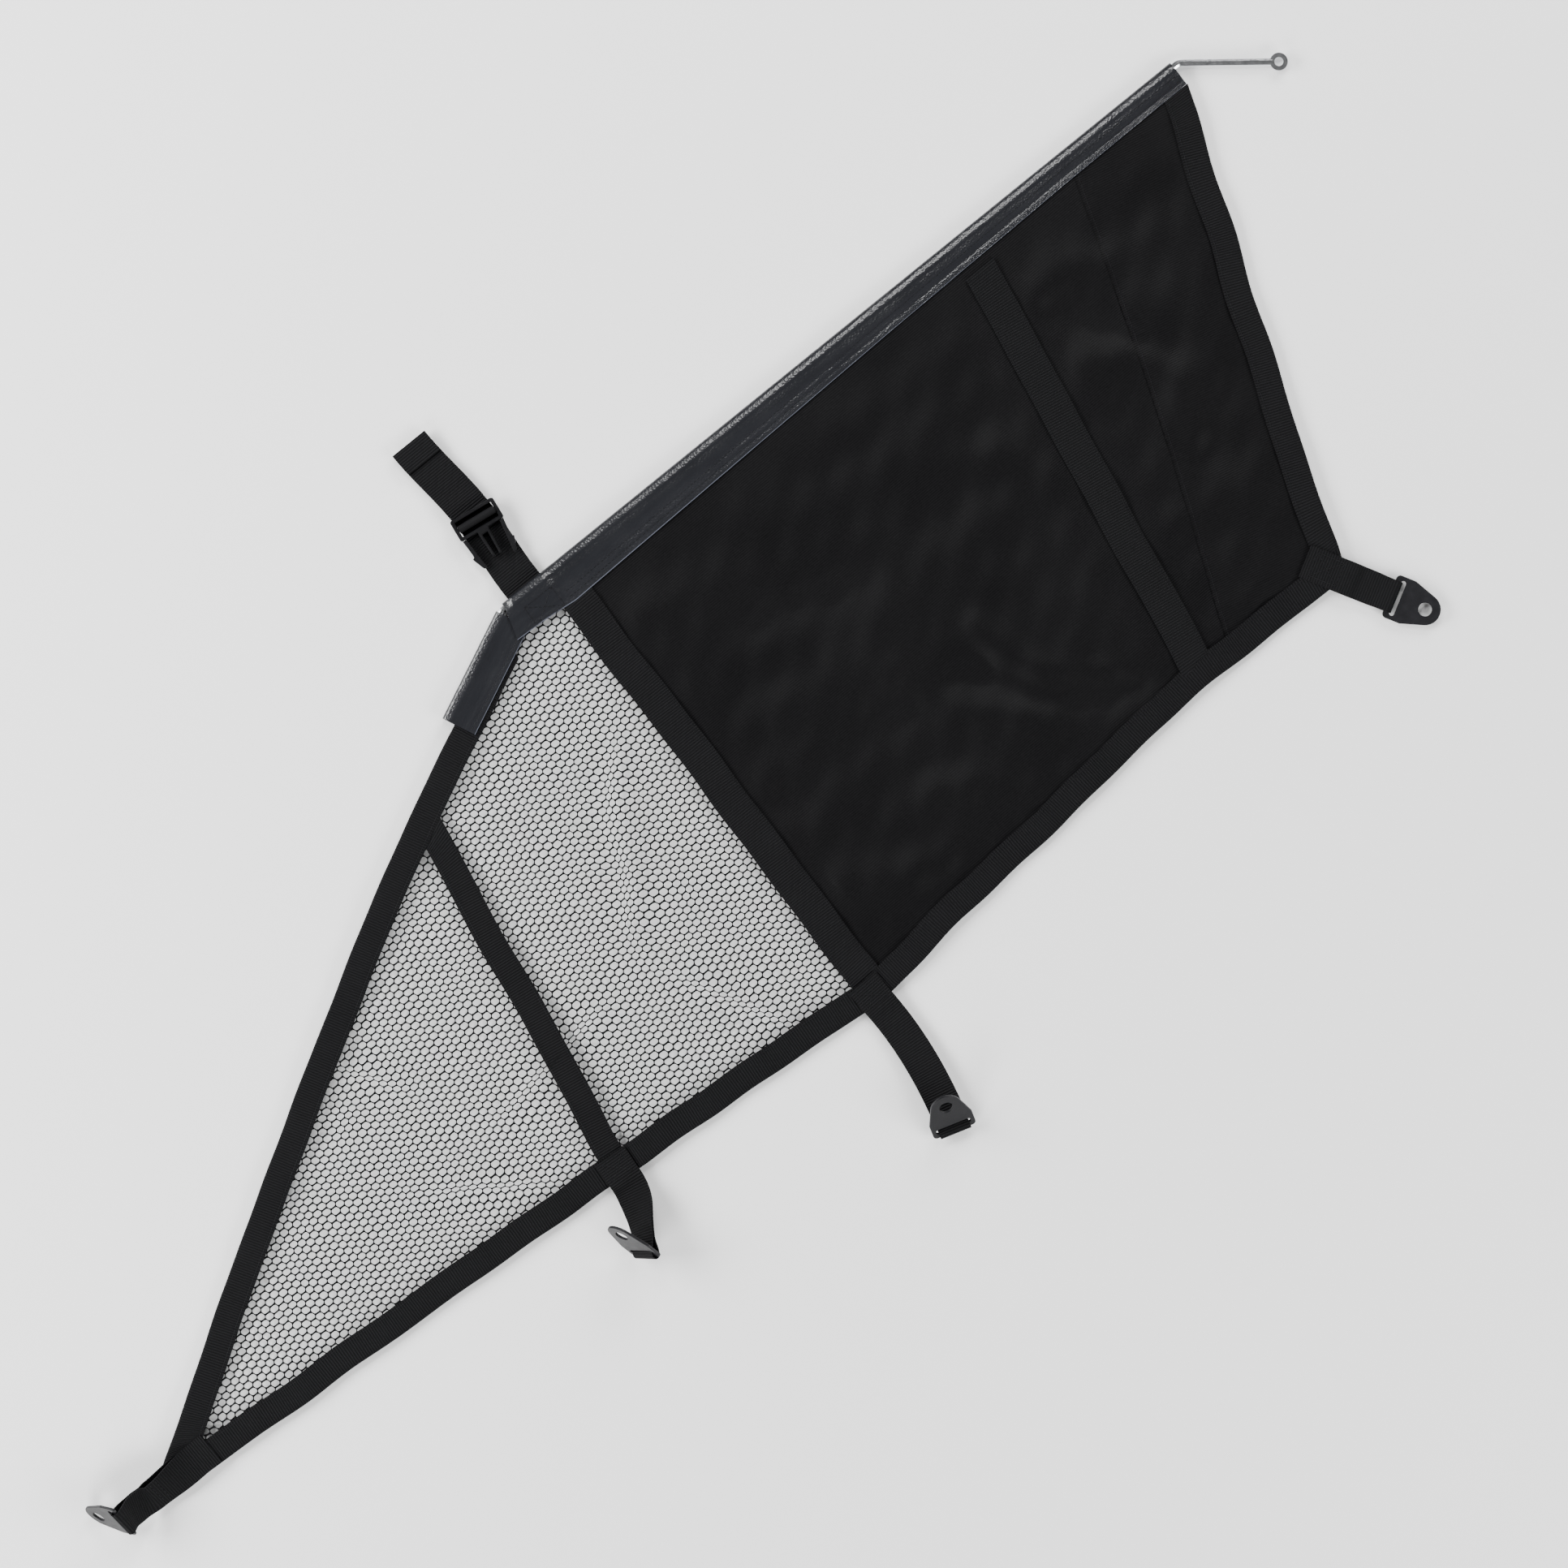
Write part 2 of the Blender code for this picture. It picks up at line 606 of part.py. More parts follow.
def tab_strap(name, start, root_heading, bar_at, bar_heading, bar_tilt, end_turn, roll):
    """A doubled webbing tab: two layers out from the net's edge, and a loop round the plate's bar."""
    onward, upward, bar = bar_frame(bar_heading, bar_tilt)
    end_way = onward * cos(end_turn) + upward * sin(end_turn)
    start_way = unit(root_heading)
    start_bar = unit(root_heading + pi / 2, roll)
    reach = (bar_at - start).length
    frames = []
    count = max(8, ceil(reach / (4 * MM)))
    for i in range(count + 1):
        t = i / count
        spot = (
            start * (2 * t**3 - 3 * t**2 + 1)
            + start_way * reach * (t**3 - 2 * t**2 + t)
            + bar_at * (3 * t**2 - 2 * t**3)
            + end_way * reach * (t**3 - t**2)
        )
        way = (
            start * (6 * t**2 - 6 * t)
            + start_way * reach * (3 * t**2 - 4 * t + 1)
            + bar_at * (6 * t - 6 * t**2)
            + end_way * reach * (3 * t**2 - 2 * t)
        ).normalized()
        turned = min(1, t / 0.75)
        across = start_bar.lerp(bar, turned * turned * (3 - 2 * turned))
        across = (across - way * across.dot(way)).normalized()
        frames.append((spot, way, across))
    opening = [(1 + cos(pi * min(1, (bar_at - spot).length / LOOP_LEAD))) / 2 for spot, way, across in frames]
    spread = [layer_offset + (loop_radius - layer_offset) * share for share in opening]
    rings = []

    def section(centre, outward, across):
        thick, wide = outward * WEBBING / 2, across * TAB_WIDTH / 2
        upper, lower = centre + thick, centre - thick
        rings.append([upper + wide, upper - wide, lower - wide, lower + wide])

    for (spot, way, across), h in zip(frames, spread):
        section(spot + way.cross(across) * h, way.cross(across), across)
    spot, way, across = frames[-1]
    for i in range(1, 8):
        turn = pi / 2 - pi * i / 8
        outward = way * cos(turn) + way.cross(across) * sin(turn)
        section(spot + outward * loop_radius, outward, across)
    for (spot, way, across), h in reversed(list(zip(frames, spread))):
        section(spot - way.cross(across) * h, -way.cross(across), across)
    spot, way, across = frames[0]
    for i in range(1, 4):
        turn = -pi / 2 - pi * i / 4
        outward = way * cos(turn) + way.cross(across) * sin(turn)
        section(spot + outward * layer_offset, outward, across)
    return loft(name, rings, cyclic=True)


def plate_outlines():
    """The plate seen flat, the middle of its bar at 0, 0 and its tip to +x: outline, slot and bolt hole."""
    half, back = PLATE_WIDTH / 2, -PLATE_BAR / 2
    hole = (HOLE_FROM_BAR, 0)
    # The taper's straight side touches the round tip
    run, rise = hole[0] - SHOULDER, half
    swing = atan2(rise, run) + asin(TIP_RADIUS / sqrt(run * run + rise * rise))
    touch = pi / 2 - (atan2(rise, run) * 2 - swing)
    touch = min(touch, pi / 2)
    corner = back + CORNER_RADIUS, half - CORNER_RADIUS
    upper = arc(corner, CORNER_RADIUS, pi, pi / 2, 5)
    upper.append(Vector((SHOULDER, half)))
    tip = arc(hole, TIP_RADIUS, touch, -touch, 13)
    lower = [Vector((p.x, -p.y)) for p in reversed(upper)]
    slot_half, slot_r = TAB_WIDTH / 2 + SLOT_SIDE, PLATE_SLOT / 2
    middle = PLATE_BAR / 2 + slot_r
    slot = arc((middle, slot_half - slot_r), slot_r, pi, 0, 7)
    slot += arc((middle, slot_r - slot_half), slot_r, 0, -pi, 7)
    return [upper + tip + lower, slot, arc(hole, PLATE_HOLE / 2, 0, 2 * pi * 31 / 32, 32)]


def tab(name, root, root_heading, bar_at, bar_heading, bar_tilt, end_turn, plate_turn, roll=0.0, parent=None):
    """One tab: the hinge at the net's edge holds the strap, and the plate hangs on the bar's line."""
    root_hinge = hinge_at(f"{name}_root_hinge", root, parent)
    strap = tab_strap(f"{name}_tab_strap", root, root_heading, bar_at, bar_heading, bar_tilt, end_turn, roll)
    place(strap, webbing_black, root_hinge, Matrix.Translation(-root))
    onward, upward, bar = bar_frame(bar_heading, bar_tilt)
    point = onward * cos(plate_turn) + upward * sin(plate_turn)
    face = point.cross(bar)
    turned = Matrix((point, bar, face)).transposed().to_4x4()
    plate = flat_piece(f"{name}_anchor_plate", plate_outlines(), PLATE_THICKNESS, 0.3 * MM)
    return place(plate, plate_black, root_hinge, Matrix.Translation(bar_at - root) @ turned)


def below_edge(x):
    """Where a tab's rounded end starts, just off the bottom edge at x, and the way out of the net there."""
    at = crossing(bottom_edge, Vector((x, 0)), Vector((x, -1)))
    back = crossing(bottom_edge, Vector((x + 6 * MM, 0)), Vector((x + 6 * MM, -1)))
    outward = -left_of(back - at)
    return (at + outward * (tab_half + GAP)).to_3d() + Vector((0, 0, mid_z)), atan2(outward.y, outward.x)


# The tip tab leaves the net already rolled, its upper edge raised, and turns down to its plate
tip_root = Vector((-TIP_REACH - tab_half - GAP, (bottom_edge[0].y + bottom_inner[0].y) / 2, mid_z + 8 * MM))
tip_bar = tip_root + Vector((-1.04, -0.04, 0.62)) * TAB_WIDTH
tip_turns = radians(178), radians(-38), radians(30), radians(-57), radians(-38)
tab("tip", tip_root, pi, tip_bar, *tip_turns, parent=fold_hinge)

front_root, front_way = below_edge(FRONT_STRAP_X[1] - 1 * MM)
front_bar = front_root + Vector((-22 * MM, -51 * MM, 11 * MM))
tab("front", front_root, front_way, front_bar, radians(-125.4), radians(52.5), radians(-8.5), radians(127.3))

middle_root, middle_way = below_edge(MIDDLE_STRAP_X[1] - 4 * MM)
middle_bar = middle_root + Vector((-15 * MM, -103 * MM, 2 * MM))
tab("middle", middle_root, middle_way, middle_bar, radians(-107), 0, 0, radians(135))

corner_heading = radians(-61)
corner = Vector((CORNER_BACK, -NET_DROP))
across_corner = left_of(unit(corner_heading).to_2d())
rear_root = Vector((corner.x - 1.5 * MM, corner.y, mid_z))
rear_root += unit(corner_heading) * (tab_half + 3 * GAP + 1.5 * MM)
rear_bar = rear_root + unit(corner_heading) * 33 * MM
tab("rear", rear_root, corner_heading, rear_bar, corner_heading, 0, 0, 0)


def corner_patch():
    """The rear tab's webbing sewn down flat on top of the corner where two bindings meet."""
    way, side = unit(corner_heading).to_2d(), across_corner * TAB_WIDTH / 2
    outer = corner - way * 5 * MM
    inner = outer - way * 27 * MM
    low = mid_z + half_binding + GAP
    corners = [outer + side, inner + side, inner - side, outer - side]
    return loft("rear_corner_patch", [[(p.x, p.y, z) for p in corners] for z in (low, low + WEBBING)])


place(corner_patch(), webbing_black)


# ---- buckle strap ------------------------------------------------------------------------------

sleeve_top = rod_radius + GAP + VINYL
strap_start = sleeve_top + GAP


def strap_line(share):
    """The middle of the buckle strap, from the sleeve (0) to its free end (1): it bows back a little."""
    lean = BUCKLE_STRAP_LEAN * (1 - cos(2 * pi * share)) / 2
    return Vector((BUCKLE_STRAP_X + lean, strap_start + share * BUCKLE_STRAP_LENGTH))


def flat_band(name, shares, low, high):
    rings = []
    for point in [strap_line(s) for s in shares]:
        edge, other = point.x + BUCKLE_STRAP_WIDTH / 2, point.x - BUCKLE_STRAP_WIDTH / 2
        rings.append([(x, point.y, z) for x, z in ((edge, low), (other, low), (other, high), (edge, high))])
    return loft(name, rings)


rod_hinge = hinge_at("buckle_strap_hinge", Vector((BUCKLE_STRAP_X, 0, mid_z)))
band_top = mid_z + WEBBING / 2
hem_from = 1 - HEM_LENGTH / BUCKLE_STRAP_LENGTH
band = flat_band("buckle_strap", [i / 12 for i in range(13)], mid_z - WEBBING / 2, band_top)
place_on(rod_hinge, band, webbing_black)
hem_shares = [hem_from + (1 - hem_from) * i / 3 for i in range(4)]
hem = flat_band("buckle_strap_hem", hem_shares, band_top + GAP, band_top + GAP + WEBBING)
place_on(rod_hinge, hem, webbing_black)


# ---- buckle ------------------------------------------------------------------------------------

frame_half = BUCKLE_STRAP_WIDTH / 2 + GAP + BUCKLE_RAIL
slot_half_width = BUCKLE_STRAP_WIDTH / 2 + GAP
frame_reach = 1.5 * BUCKLE_BAR + BUCKLE_SLOT  # middle bar's middle to the frame's outer edge
buckle_middle = strap_line(BUCKLE_AT / BUCKLE_STRAP_LENGTH)
buckle_low = band_top + GAP
buckle_home = Matrix.Translation((buckle_middle.x - BUCKLE_STRAP_X, buckle_middle.y, buckle_low - mid_z))
buckle_home = buckle_home @ Matrix.Rotation(BUCKLE_HEADING - pi / 2, 4, "Z")


def rectangle(x0, x1, y0, y1):
    return [Vector((x0, y0)), Vector((x1, y0)), Vector((x1, y1)), Vector((x0, y1))]


def rounded(x0, x1, y0, y1, r):
    points = arc((x1 - r, y1 - r), r, 0, pi / 2, 4) + arc((x0 + r, y1 - r), r, pi / 2, pi, 4)
    return points + arc((x0 + r, y0 + r), r, pi, 1.5 * pi, 4) + arc((x1 - r, y0 + r), r, 1.5 * pi, 2 * pi, 4)


def buckle_body():
    """The male half of a side-release buckle: a frame with two slots, and a forked guide towards the net."""
    near = -frame_reach
    fork = GUIDE_WIDTH / 2 - 2.2 * MM
    foot = near - GUIDE_LENGTH
    corner_of = [(fork, near - 3 * MM), (fork - 0.6 * MM, foot), (GUIDE_WIDTH / 2 - 1 * MM, foot)]
    corner_of += [(GUIDE_WIDTH / 2, near), (frame_half - 1 * MM, near), (frame_half, near + 1 * MM)]
    outline = [Vector(p) for p in corner_of]
    outline += arc((frame_half - 2 * MM, frame_reach - 2 * MM), 2 * MM, 0, pi / 2, 5)
    outline += arc((2 * MM - frame_half, frame_reach - 2 * MM), 2 * MM, pi / 2, pi, 5)
    outline += [Vector((-x, y)) for x, y in reversed(corner_of)]
    slots = []
    for side in (-1, 1):
        a, b = sorted((side * BUCKLE_BAR / 2, side * (BUCKLE_BAR / 2 + BUCKLE_SLOT)))
        slots.append(rounded(-slot_half_width, slot_half_width, a, b, 0.5 * MM))
    made = flat_piece("buckle_body", [outline, *slots], BUCKLE_THICKNESS, 0.4 * MM)
    rise = Matrix.Translation((0, 0, BUCKLE_THICKNESS / 2))
    return place(made, buckle_black, rod_hinge, buckle_home @ rise)


buckle_body()


def latch_arm(name, side):
    """One sprung arm with its barb: it bends in about its root when it is squeezed."""
    root_y = -frame_reach - GAP
    inner, outer = frame_half - 1 * MM - ARM_WIDTH, frame_half - 1 * MM
    barb_y = -ARM_LENGTH * 0.6
    outline = [(inner, 0), (inner - 1.5 * MM, -ARM_LENGTH * 0.55), (inner - 3 * MM, -ARM_LENGTH)]
    outline += arc((outer - 4.5 * MM, -ARM_LENGTH + 1.6 * MM), 1.6 * MM, -pi / 2, -pi / 8, 4)
    outline += [(outer + 0.4 * MM, barb_y), (outer - 1.2 * MM, barb_y + ARM_BARB / 4)]
    outline += [(outer - 1.2 * MM, -ARM_LENGTH * 0.45), (outer, 0)]
    outline = [Vector(p) for p in outline]
    outline = [Vector((side * (p.x - outer + ARM_WIDTH / 2), p.y)) for p in outline]
    made = flat_piece(name, [outline], ARM_THICKNESS, 0.3 * MM)
    root = Matrix.Translation((side * (outer - ARM_WIDTH / 2), root_y, BUCKLE_THICKNESS / 2))
    return place(made, buckle_black, rod_hinge, buckle_home @ root)


latch_arm("latch_arm_front", -1)
latch_arm("latch_arm_rear", 1)


def strap_turn():
    """Where the webbing rises through the frame and goes over the middle bar."""
    top = BUCKLE_THICKNESS + GAP
    radius = BUCKLE_BAR / 2 + GAP
    low = GAP
    path = [(-radius, low), (-radius, top - radius * 0.6)]
    path += [tuple(p) for p in arc((0, top - radius * 0.6), radius, pi, 0, 9)[1:-1]]
    path += [(radius, top - radius * 0.6), (radius, low)]
    rings = []
    for i, (y, z) in enumerate(path):
        after, before = path[min(i + 1, len(path) - 1)], path[max(i - 1, 0)]
        way = Vector((after[0] - before[0], after[1] - before[1])).normalized()
        out = Vector((-way.y, way.x)) * WEBBING
        wide, over = BUCKLE_STRAP_WIDTH / 2, (y + out.x, z + out.y)
        rings.append([(-wide, y, z), (wide, y, z), (wide, *over), (-wide, *over)])
    return place(loft("buckle_strap_turn", rings), webbing_black, rod_hinge, buckle_home)


strap_turn()


# ---- origin ------------------------------------------------------------------------------------


def box_of_net():
    bpy.context.view_layer.update()
    graph = bpy.context.evaluated_depsgraph_get()
    corners = []
    for shape in net_parts.objects:
        if shape.type != "EMPTY":
            seen = shape.evaluated_get(graph)
            mesh = seen.to_mesh()
            corners += [seen.matrix_world @ v.co for v in mesh.vertices]
            seen.to_mesh_clear()
    return [(min(c[k] for c in corners), max(c[k] for c in corners)) for k in range(3)]


box = box_of_net()
datum.location = (-(box[0][0] + box[0][1]) / 2, -(box[1][0] + box[1][1]) / 2, -box[2][0])
bpy.context.view_layer.update()
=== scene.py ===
import json
from math import cos, pi, radians, sin

import bpy
import numpy as np
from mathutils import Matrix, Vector

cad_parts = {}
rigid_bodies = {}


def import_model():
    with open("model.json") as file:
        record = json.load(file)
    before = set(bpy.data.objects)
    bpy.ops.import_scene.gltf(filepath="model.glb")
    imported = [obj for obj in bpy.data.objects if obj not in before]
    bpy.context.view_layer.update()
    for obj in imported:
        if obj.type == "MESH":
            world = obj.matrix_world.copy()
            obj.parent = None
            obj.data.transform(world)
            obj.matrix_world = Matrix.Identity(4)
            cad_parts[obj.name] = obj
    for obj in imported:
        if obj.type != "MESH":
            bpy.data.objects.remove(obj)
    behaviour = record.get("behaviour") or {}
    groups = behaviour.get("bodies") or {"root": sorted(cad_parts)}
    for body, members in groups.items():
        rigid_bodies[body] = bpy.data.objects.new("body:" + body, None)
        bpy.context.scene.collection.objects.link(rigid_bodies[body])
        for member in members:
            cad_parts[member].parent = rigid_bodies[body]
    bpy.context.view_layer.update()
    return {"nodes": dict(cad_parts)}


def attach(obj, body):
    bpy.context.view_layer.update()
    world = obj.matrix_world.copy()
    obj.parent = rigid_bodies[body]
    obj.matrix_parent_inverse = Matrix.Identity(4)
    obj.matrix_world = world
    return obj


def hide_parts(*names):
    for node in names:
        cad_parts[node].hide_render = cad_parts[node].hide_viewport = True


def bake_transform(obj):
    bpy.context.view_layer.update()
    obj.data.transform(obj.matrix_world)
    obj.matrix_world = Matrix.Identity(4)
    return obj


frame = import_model()
mm = 0.001


# ---- Studio -------------------------------------------------------------------------------------
# The net lies on a pale surface between four wide side lights, and a small one picks out the long
# sleeve's ridge. The camera looks straight down, turned so that the rod climbs to the right.

for obj in bpy.data.objects:
    obj.select_set(False)


class Wire:
    """A socket that can be used in sums: each operator adds its Math node."""

    def __init__(self, look, socket):
        self.look, self.socket = look, socket

    def sum(self, operation, *values):
        return self.look.add("Math", {"operation": operation}, values)

    def __add__(self, other):
        return self.sum("ADD", self, other)

    def __sub__(self, other):
        return self.sum("SUBTRACT", self, other)

    def __rsub__(self, other):
        return self.sum("SUBTRACT", other, self)

    def __mul__(self, other):
        return self.sum("MULTIPLY", self, other)

    __radd__, __rmul__ = __add__, __mul__


class Look:
    """A material: its shader's plain values are given by name, and add() makes any other node."""

    def __init__(self, name, **values):
        self.material = bpy.data.materials.new(name)
        self.material.use_nodes = True
        self.tree = self.material.node_tree
        self.shader = self.tree.nodes["Principled BSDF"]
        self.feed(**values)

    def add(self, kind, settings=None, values=(), output=0):
        node = self.tree.nodes.new("ShaderNode" + kind)
        for name, value in (settings or {}).items():
            setattr(node, name, value)
        for key, value in values.items() if isinstance(values, dict) else enumerate(values):
            self.join(node.inputs[key], value)
        return Wire(self, node.outputs[output])

    def join(self, socket, value):
        if isinstance(value, Wire):
            self.tree.links.new(value.socket, socket)
        elif isinstance(value, tuple) and len(value) == 3 and socket.type == "RGBA":
            socket.default_value = (*value, 1)
        else:
            socket.default_value = value

    def label(self, name):
        """The shader's own label for a plain name, such as Base Color for base_color."""
        return " ".join(word if word.isupper() else word.title() for word in name.split("_"))

    def feed(self, **values):
        for name, value in values.items():
            self.join(self.shader.inputs[self.label(name)], value)
        return self

    def blend(self, share, one, two):
        return self.add("Mix", {"data_type": "RGBA"}, {0: share, 6: one, 7: two}, 2)

    def noise(self, where, scale, detail=2.0, roughness=0.5):
        return self.add("TexNoise", None,
                        {"Vector": where, "Scale": scale, "Detail": detail, "Roughness": roughness})

    def uv(self):
        """Metres along the piece and metres across it."""
        split = self.add("SeparateXYZ", None, [self.add("TexCoord", output="UV")])
        return split, Wire(self, split.socket.node.outputs[1])

    def bump(self, height, distance, strength=1.0):
        self.feed(normal=self.add("Bump", None,
                                  {"Height": height, "Distance": distance, "Strength": strength}))
        return self


net_middle = (0.05, -0.04, 0.0)
bpy.ops.mesh.primitive_plane_add(size=9, location=net_middle)
floor = bpy.context.object
floor.name = "studio_floor"
paper = Look("studio_paper", base_color=(0.93, 0.93, 0.93), roughness=0.9)
floor.data.materials.append(paper.material)
floor.select_set(False)


def softbox(name, at, size, power, towards=net_middle):
    lamp = bpy.data.lights.new(name, "AREA")
    lamp.shape, lamp.size, lamp.size_y, lamp.energy = "RECTANGLE", size[0], size[1], power
    holder = bpy.data.objects.new(name, lamp)
    bpy.context.scene.collection.objects.link(holder)
    holder.location = at
    holder.rotation_euler = (Vector(towards) - Vector(at)).to_track_quat("-Z", "Y").to_euler()


softbox("window", (-1.35, 1.55, 1.15), (2.0, 1.0), 120)
softbox("long_side", (1.75, 1.0, 1.0), (1.4, 0.8), 42)
softbox("ridge_light", (0.56, 1.15, 1.7), (0.7, 0.4), 17, (0.42, 0.18, 0.0))
softbox("near_side", (0.9, -1.9, 1.1), (1.6, 0.8), 60)
softbox("far_side", (-1.9, -0.9, 1.1), (1.2, 0.8), 44)
sky = bpy.data.worlds.new("studio_sky")
bpy.context.scene.world = sky
sky.use_nodes = True
glow = sky.node_tree.nodes["Background"].inputs
glow["Color"].default_value, glow["Strength"].default_value = (1, 1, 1, 1), 0.1

camera = bpy.data.objects.new("camera", bpy.data.cameras.new("camera"))
bpy.context.scene.collection.objects.link(camera)
view_width, lens_length, sensor_width, net_level = 1.1399, 150, 36, 0.004
camera.data.lens, camera.data.clip_end = lens_length, 50
camera.location = (0.0555, -0.0421, view_width * lens_length / sensor_width + net_level)
camera.rotation_euler = (0, 0, radians(-39))
bpy.context.scene.camera = camera


# ---- Outline of the net -------------------------------------------------------------------------
# The net is cut to five edges: the two legs of the rod, a long slanting front edge, a bottom edge that
# hangs lowest at the middle tab, and a back edge that leans in from the rod's end to the rear tab.

lying_height = 4.13 * mm  # middle of the cloth, which is the rod's axis too


def curve_through(points, step):
    """A smooth plan curve through points in millimetres, as rows of metres a step apart."""
    points = np.array(points, float) * mm
    ends = np.vstack([2 * points[0] - points[1], points, 2 * points[-1] - points[-2]])
    fine = []
    for a, b, c, d in zip(ends, ends[1:], ends[2:], ends[3:]):
        for t in np.linspace(0, 1, 24, endpoint=False):
            fine.append(0.5 * (2 * b + (c - a) * t + (2 * a - 5 * b + 4 * c - d) * t**2
                               + (3 * b - a - 3 * c + d) * t**3))
    return even(np.array([*fine, points[-1]]), step)


def run_along(line):
    """How far along a line each of its points is."""
    return np.concatenate([[0], np.cumsum(np.linalg.norm(np.diff(line, axis=0), axis=1))])


def even(line, step):
    """The same line with its points an even distance apart."""
    reach = run_along(line)
    at = np.linspace(0, reach[-1], max(2, int(round(reach[-1] / step)) + 1))
    return np.stack([np.interp(at, reach, line[:, k]) for k in range(line.shape[1])], 1)


front_edge = curve_through([(-29.1, 175.9), (-143.4, 123.8), (-252.6, 68.3), (-446.1, -43.2),
                            (-623.9, -153.2)], 3 * mm)
bottom_edge = curve_through(
    [(-623.9, -165.2), (-359.9, -181.2), (-193.5, -193.2), (-26.9, -206.2), (13.1, -210.2), (73.1, -202.2)]
    + [(239.1, -188.2), (317.1, -181.2), (468.7, -182.2)],
    3 * mm,
)
rear_edge = curve_through([(468.7, -182.2), (507.7, -77.6), (570.7, 84.3), (604.1, 169.0)], 3 * mm)
sleeve_foot = np.array([(-21.5, 160.8), (-2.8, 159.8), (22.2, 156.8), (322.0, 164.8), (496.9, 168.3),
                        (603.1, 169.3)]) * mm


def swell(x, y, length, seed):
    """A smooth irregular wave between about -1 and 1, with the given wavelength."""
    spin = np.random.default_rng(seed)
    total, waves, usual_peak = 0, 6, 2.6
    turns, stretches = spin.uniform(0, 2 * pi, waves), spin.uniform(0.7, 1.5, waves)
    for turn, stretch, phase in zip(turns, stretches, spin.uniform(0, 2 * pi, waves)):
        total = total + np.sin((x * cos(turn) + y * sin(turn)) * 2 * pi / (length * stretch) + phase)
    return total / usual_peak


def lie(x, y):
    """How far the net stands off its level as it lies: nothing at the sleeves, a little everywhere else."""
    loose_from, loosening = 0.15, 0.07
    free = np.clip((loose_from - y) / loosening, 0, 1)
    return free * (0.9 * mm * swell(x, y, 0.16, 4) + 0.35 * mm * swell(x, y, 0.06, 9))


def left_normals(line):
    """Unit steps to the left of a plan line and along it, at each of its points."""
    way = np.gradient(line, axis=0)
    way /= np.linalg.norm(way, axis=1)[:, None]
    return np.stack([-way[:, 1], way[:, 0]], 1), way


def offset(line, distance):
    return line + left_normals(line)[0] * distance


def wavy(line, high, seed):
    """The line with the small sideways waves that sewing leaves, its ends kept where they are."""
    reach = np.linspace(0, 1, len(line))
    still_share, wave_length = 0.06, 0.075
    kept = np.clip(np.minimum(reach, 1 - reach) / still_share, 0, 1)
    wave = high * kept * swell(line[:, 0], line[:, 1], wave_length, seed)
    return line + left_normals(line)[0] * wave[:, None]


front_edge, bottom_edge = wavy(front_edge, 0.3 * mm, 81), wavy(bottom_edge, 0.7 * mm, 82)
rear_edge = wavy(rear_edge, 1.0 * mm, 83)


def clipped(line, a, b):
    """The part of a line that lies to the left of the straight line from a to b, cut exactly on it."""
    a, b = np.array(a), np.array(b)
    side = (b[0] - a[0]) * (line[:, 1] - a[1]) - (b[1] - a[1]) * (line[:, 0] - a[0])
    kept = [line[0]] if side[0] > 0 else []
    for p, q, u, v in zip(line, line[1:], side, side[1:]):
        if u * v < 0:
            kept.append(p + (q - p) * u / (u - v))
        if v > 0:
            kept.append(q)
    return np.array(kept)


def cut_of(outline):
    """A flat cut's size and area, from its plan outline."""
    x, y = outline.T
    return {"flat": tuple(float(side) for side in np.ptp(outline, axis=0)),
            "area": float(abs(x @ np.roll(y, -1) - y @ np.roll(x, -1)) / 2)}


def grid_piece(name, points, u, v, look, thickness):
    """A sheet of the given rows of points, its UV map in metres along and across it, with thickness."""
    rows, columns = points.shape[:2]
    bpy.ops.object.select_all(action="DESELECT")
    bpy.ops.mesh.primitive_grid_add(x_subdivisions=rows - 1, y_subdivisions=columns - 1, size=2,
                                    location=(0, 0, 0))
    piece = bpy.context.object
    piece.name = piece.data.name = name
    flat = np.empty(len(piece.data.vertices) * 3, np.float32)
    piece.data.vertices.foreach_get("co", flat)
    flat = flat.reshape(-1, 3)
    row = np.rint((flat[:, 0] + 1) / 2 * (rows - 1)).astype(int)
    column = np.rint((flat[:, 1] + 1) / 2 * (columns - 1)).astype(int)
    piece.data.vertices.foreach_set("co", points[row, column].astype(np.float32).ravel())
    corner = np.empty(len(piece.data.loops), np.int32)
    piece.data.loops.foreach_get("vertex_index", corner)
    uv = np.stack([np.broadcast_to(u, (columns, rows)).T[row, column] if u.ndim == 1 else u[row, column],
                   np.broadcast_to(v, (rows, columns))[row, column] if v.ndim == 1 else v[row, column]], 1)
    piece.data.uv_layers.active.data.foreach_set("uv", uv[corner].astype(np.float32).ravel())
    piece.data.update()
    solid = piece.modifiers.new("thickness", "SOLIDIFY")
    solid.thickness, solid.offset = thickness, 0
    bpy.ops.object.modifier_apply(modifier="thickness")
    bpy.ops.object.shade_smooth_by_angle(angle=radians(50))
    piece.data.materials.append(look.material)
    piece.select_set(False)
    return piece


# ---- Mesh netting -------------------------------------------------------------------------------
# Coated polyester warp knit with six-sided holes: thick strands run one way and thin ones join them.
# One cut covers the front of the net, and the front strap is sewn over it.

netting = Look("net_mesh", roughness=0.55, specular_IOR_level=0.06)
where = netting.add("TexCoord", output="Object")
knit = netting.noise(where, 900, 3)
netting.feed(base_color=netting.blend(knit, (0.002, 0.002, 0.0022), (0.007, 0.007, 0.0075)),
             roughness=knit * 0.3 + 0.42)
netting.bump(knit, 0.25 * mm)

across_pitch, down_pitch = np.array((5.56, -3.44)) * mm, np.array((0.07, 5.71)) * mm
thick_strand, thin_strand, netting_thickness = 0.62 * mm, 0.37 * mm, 0.7 * mm
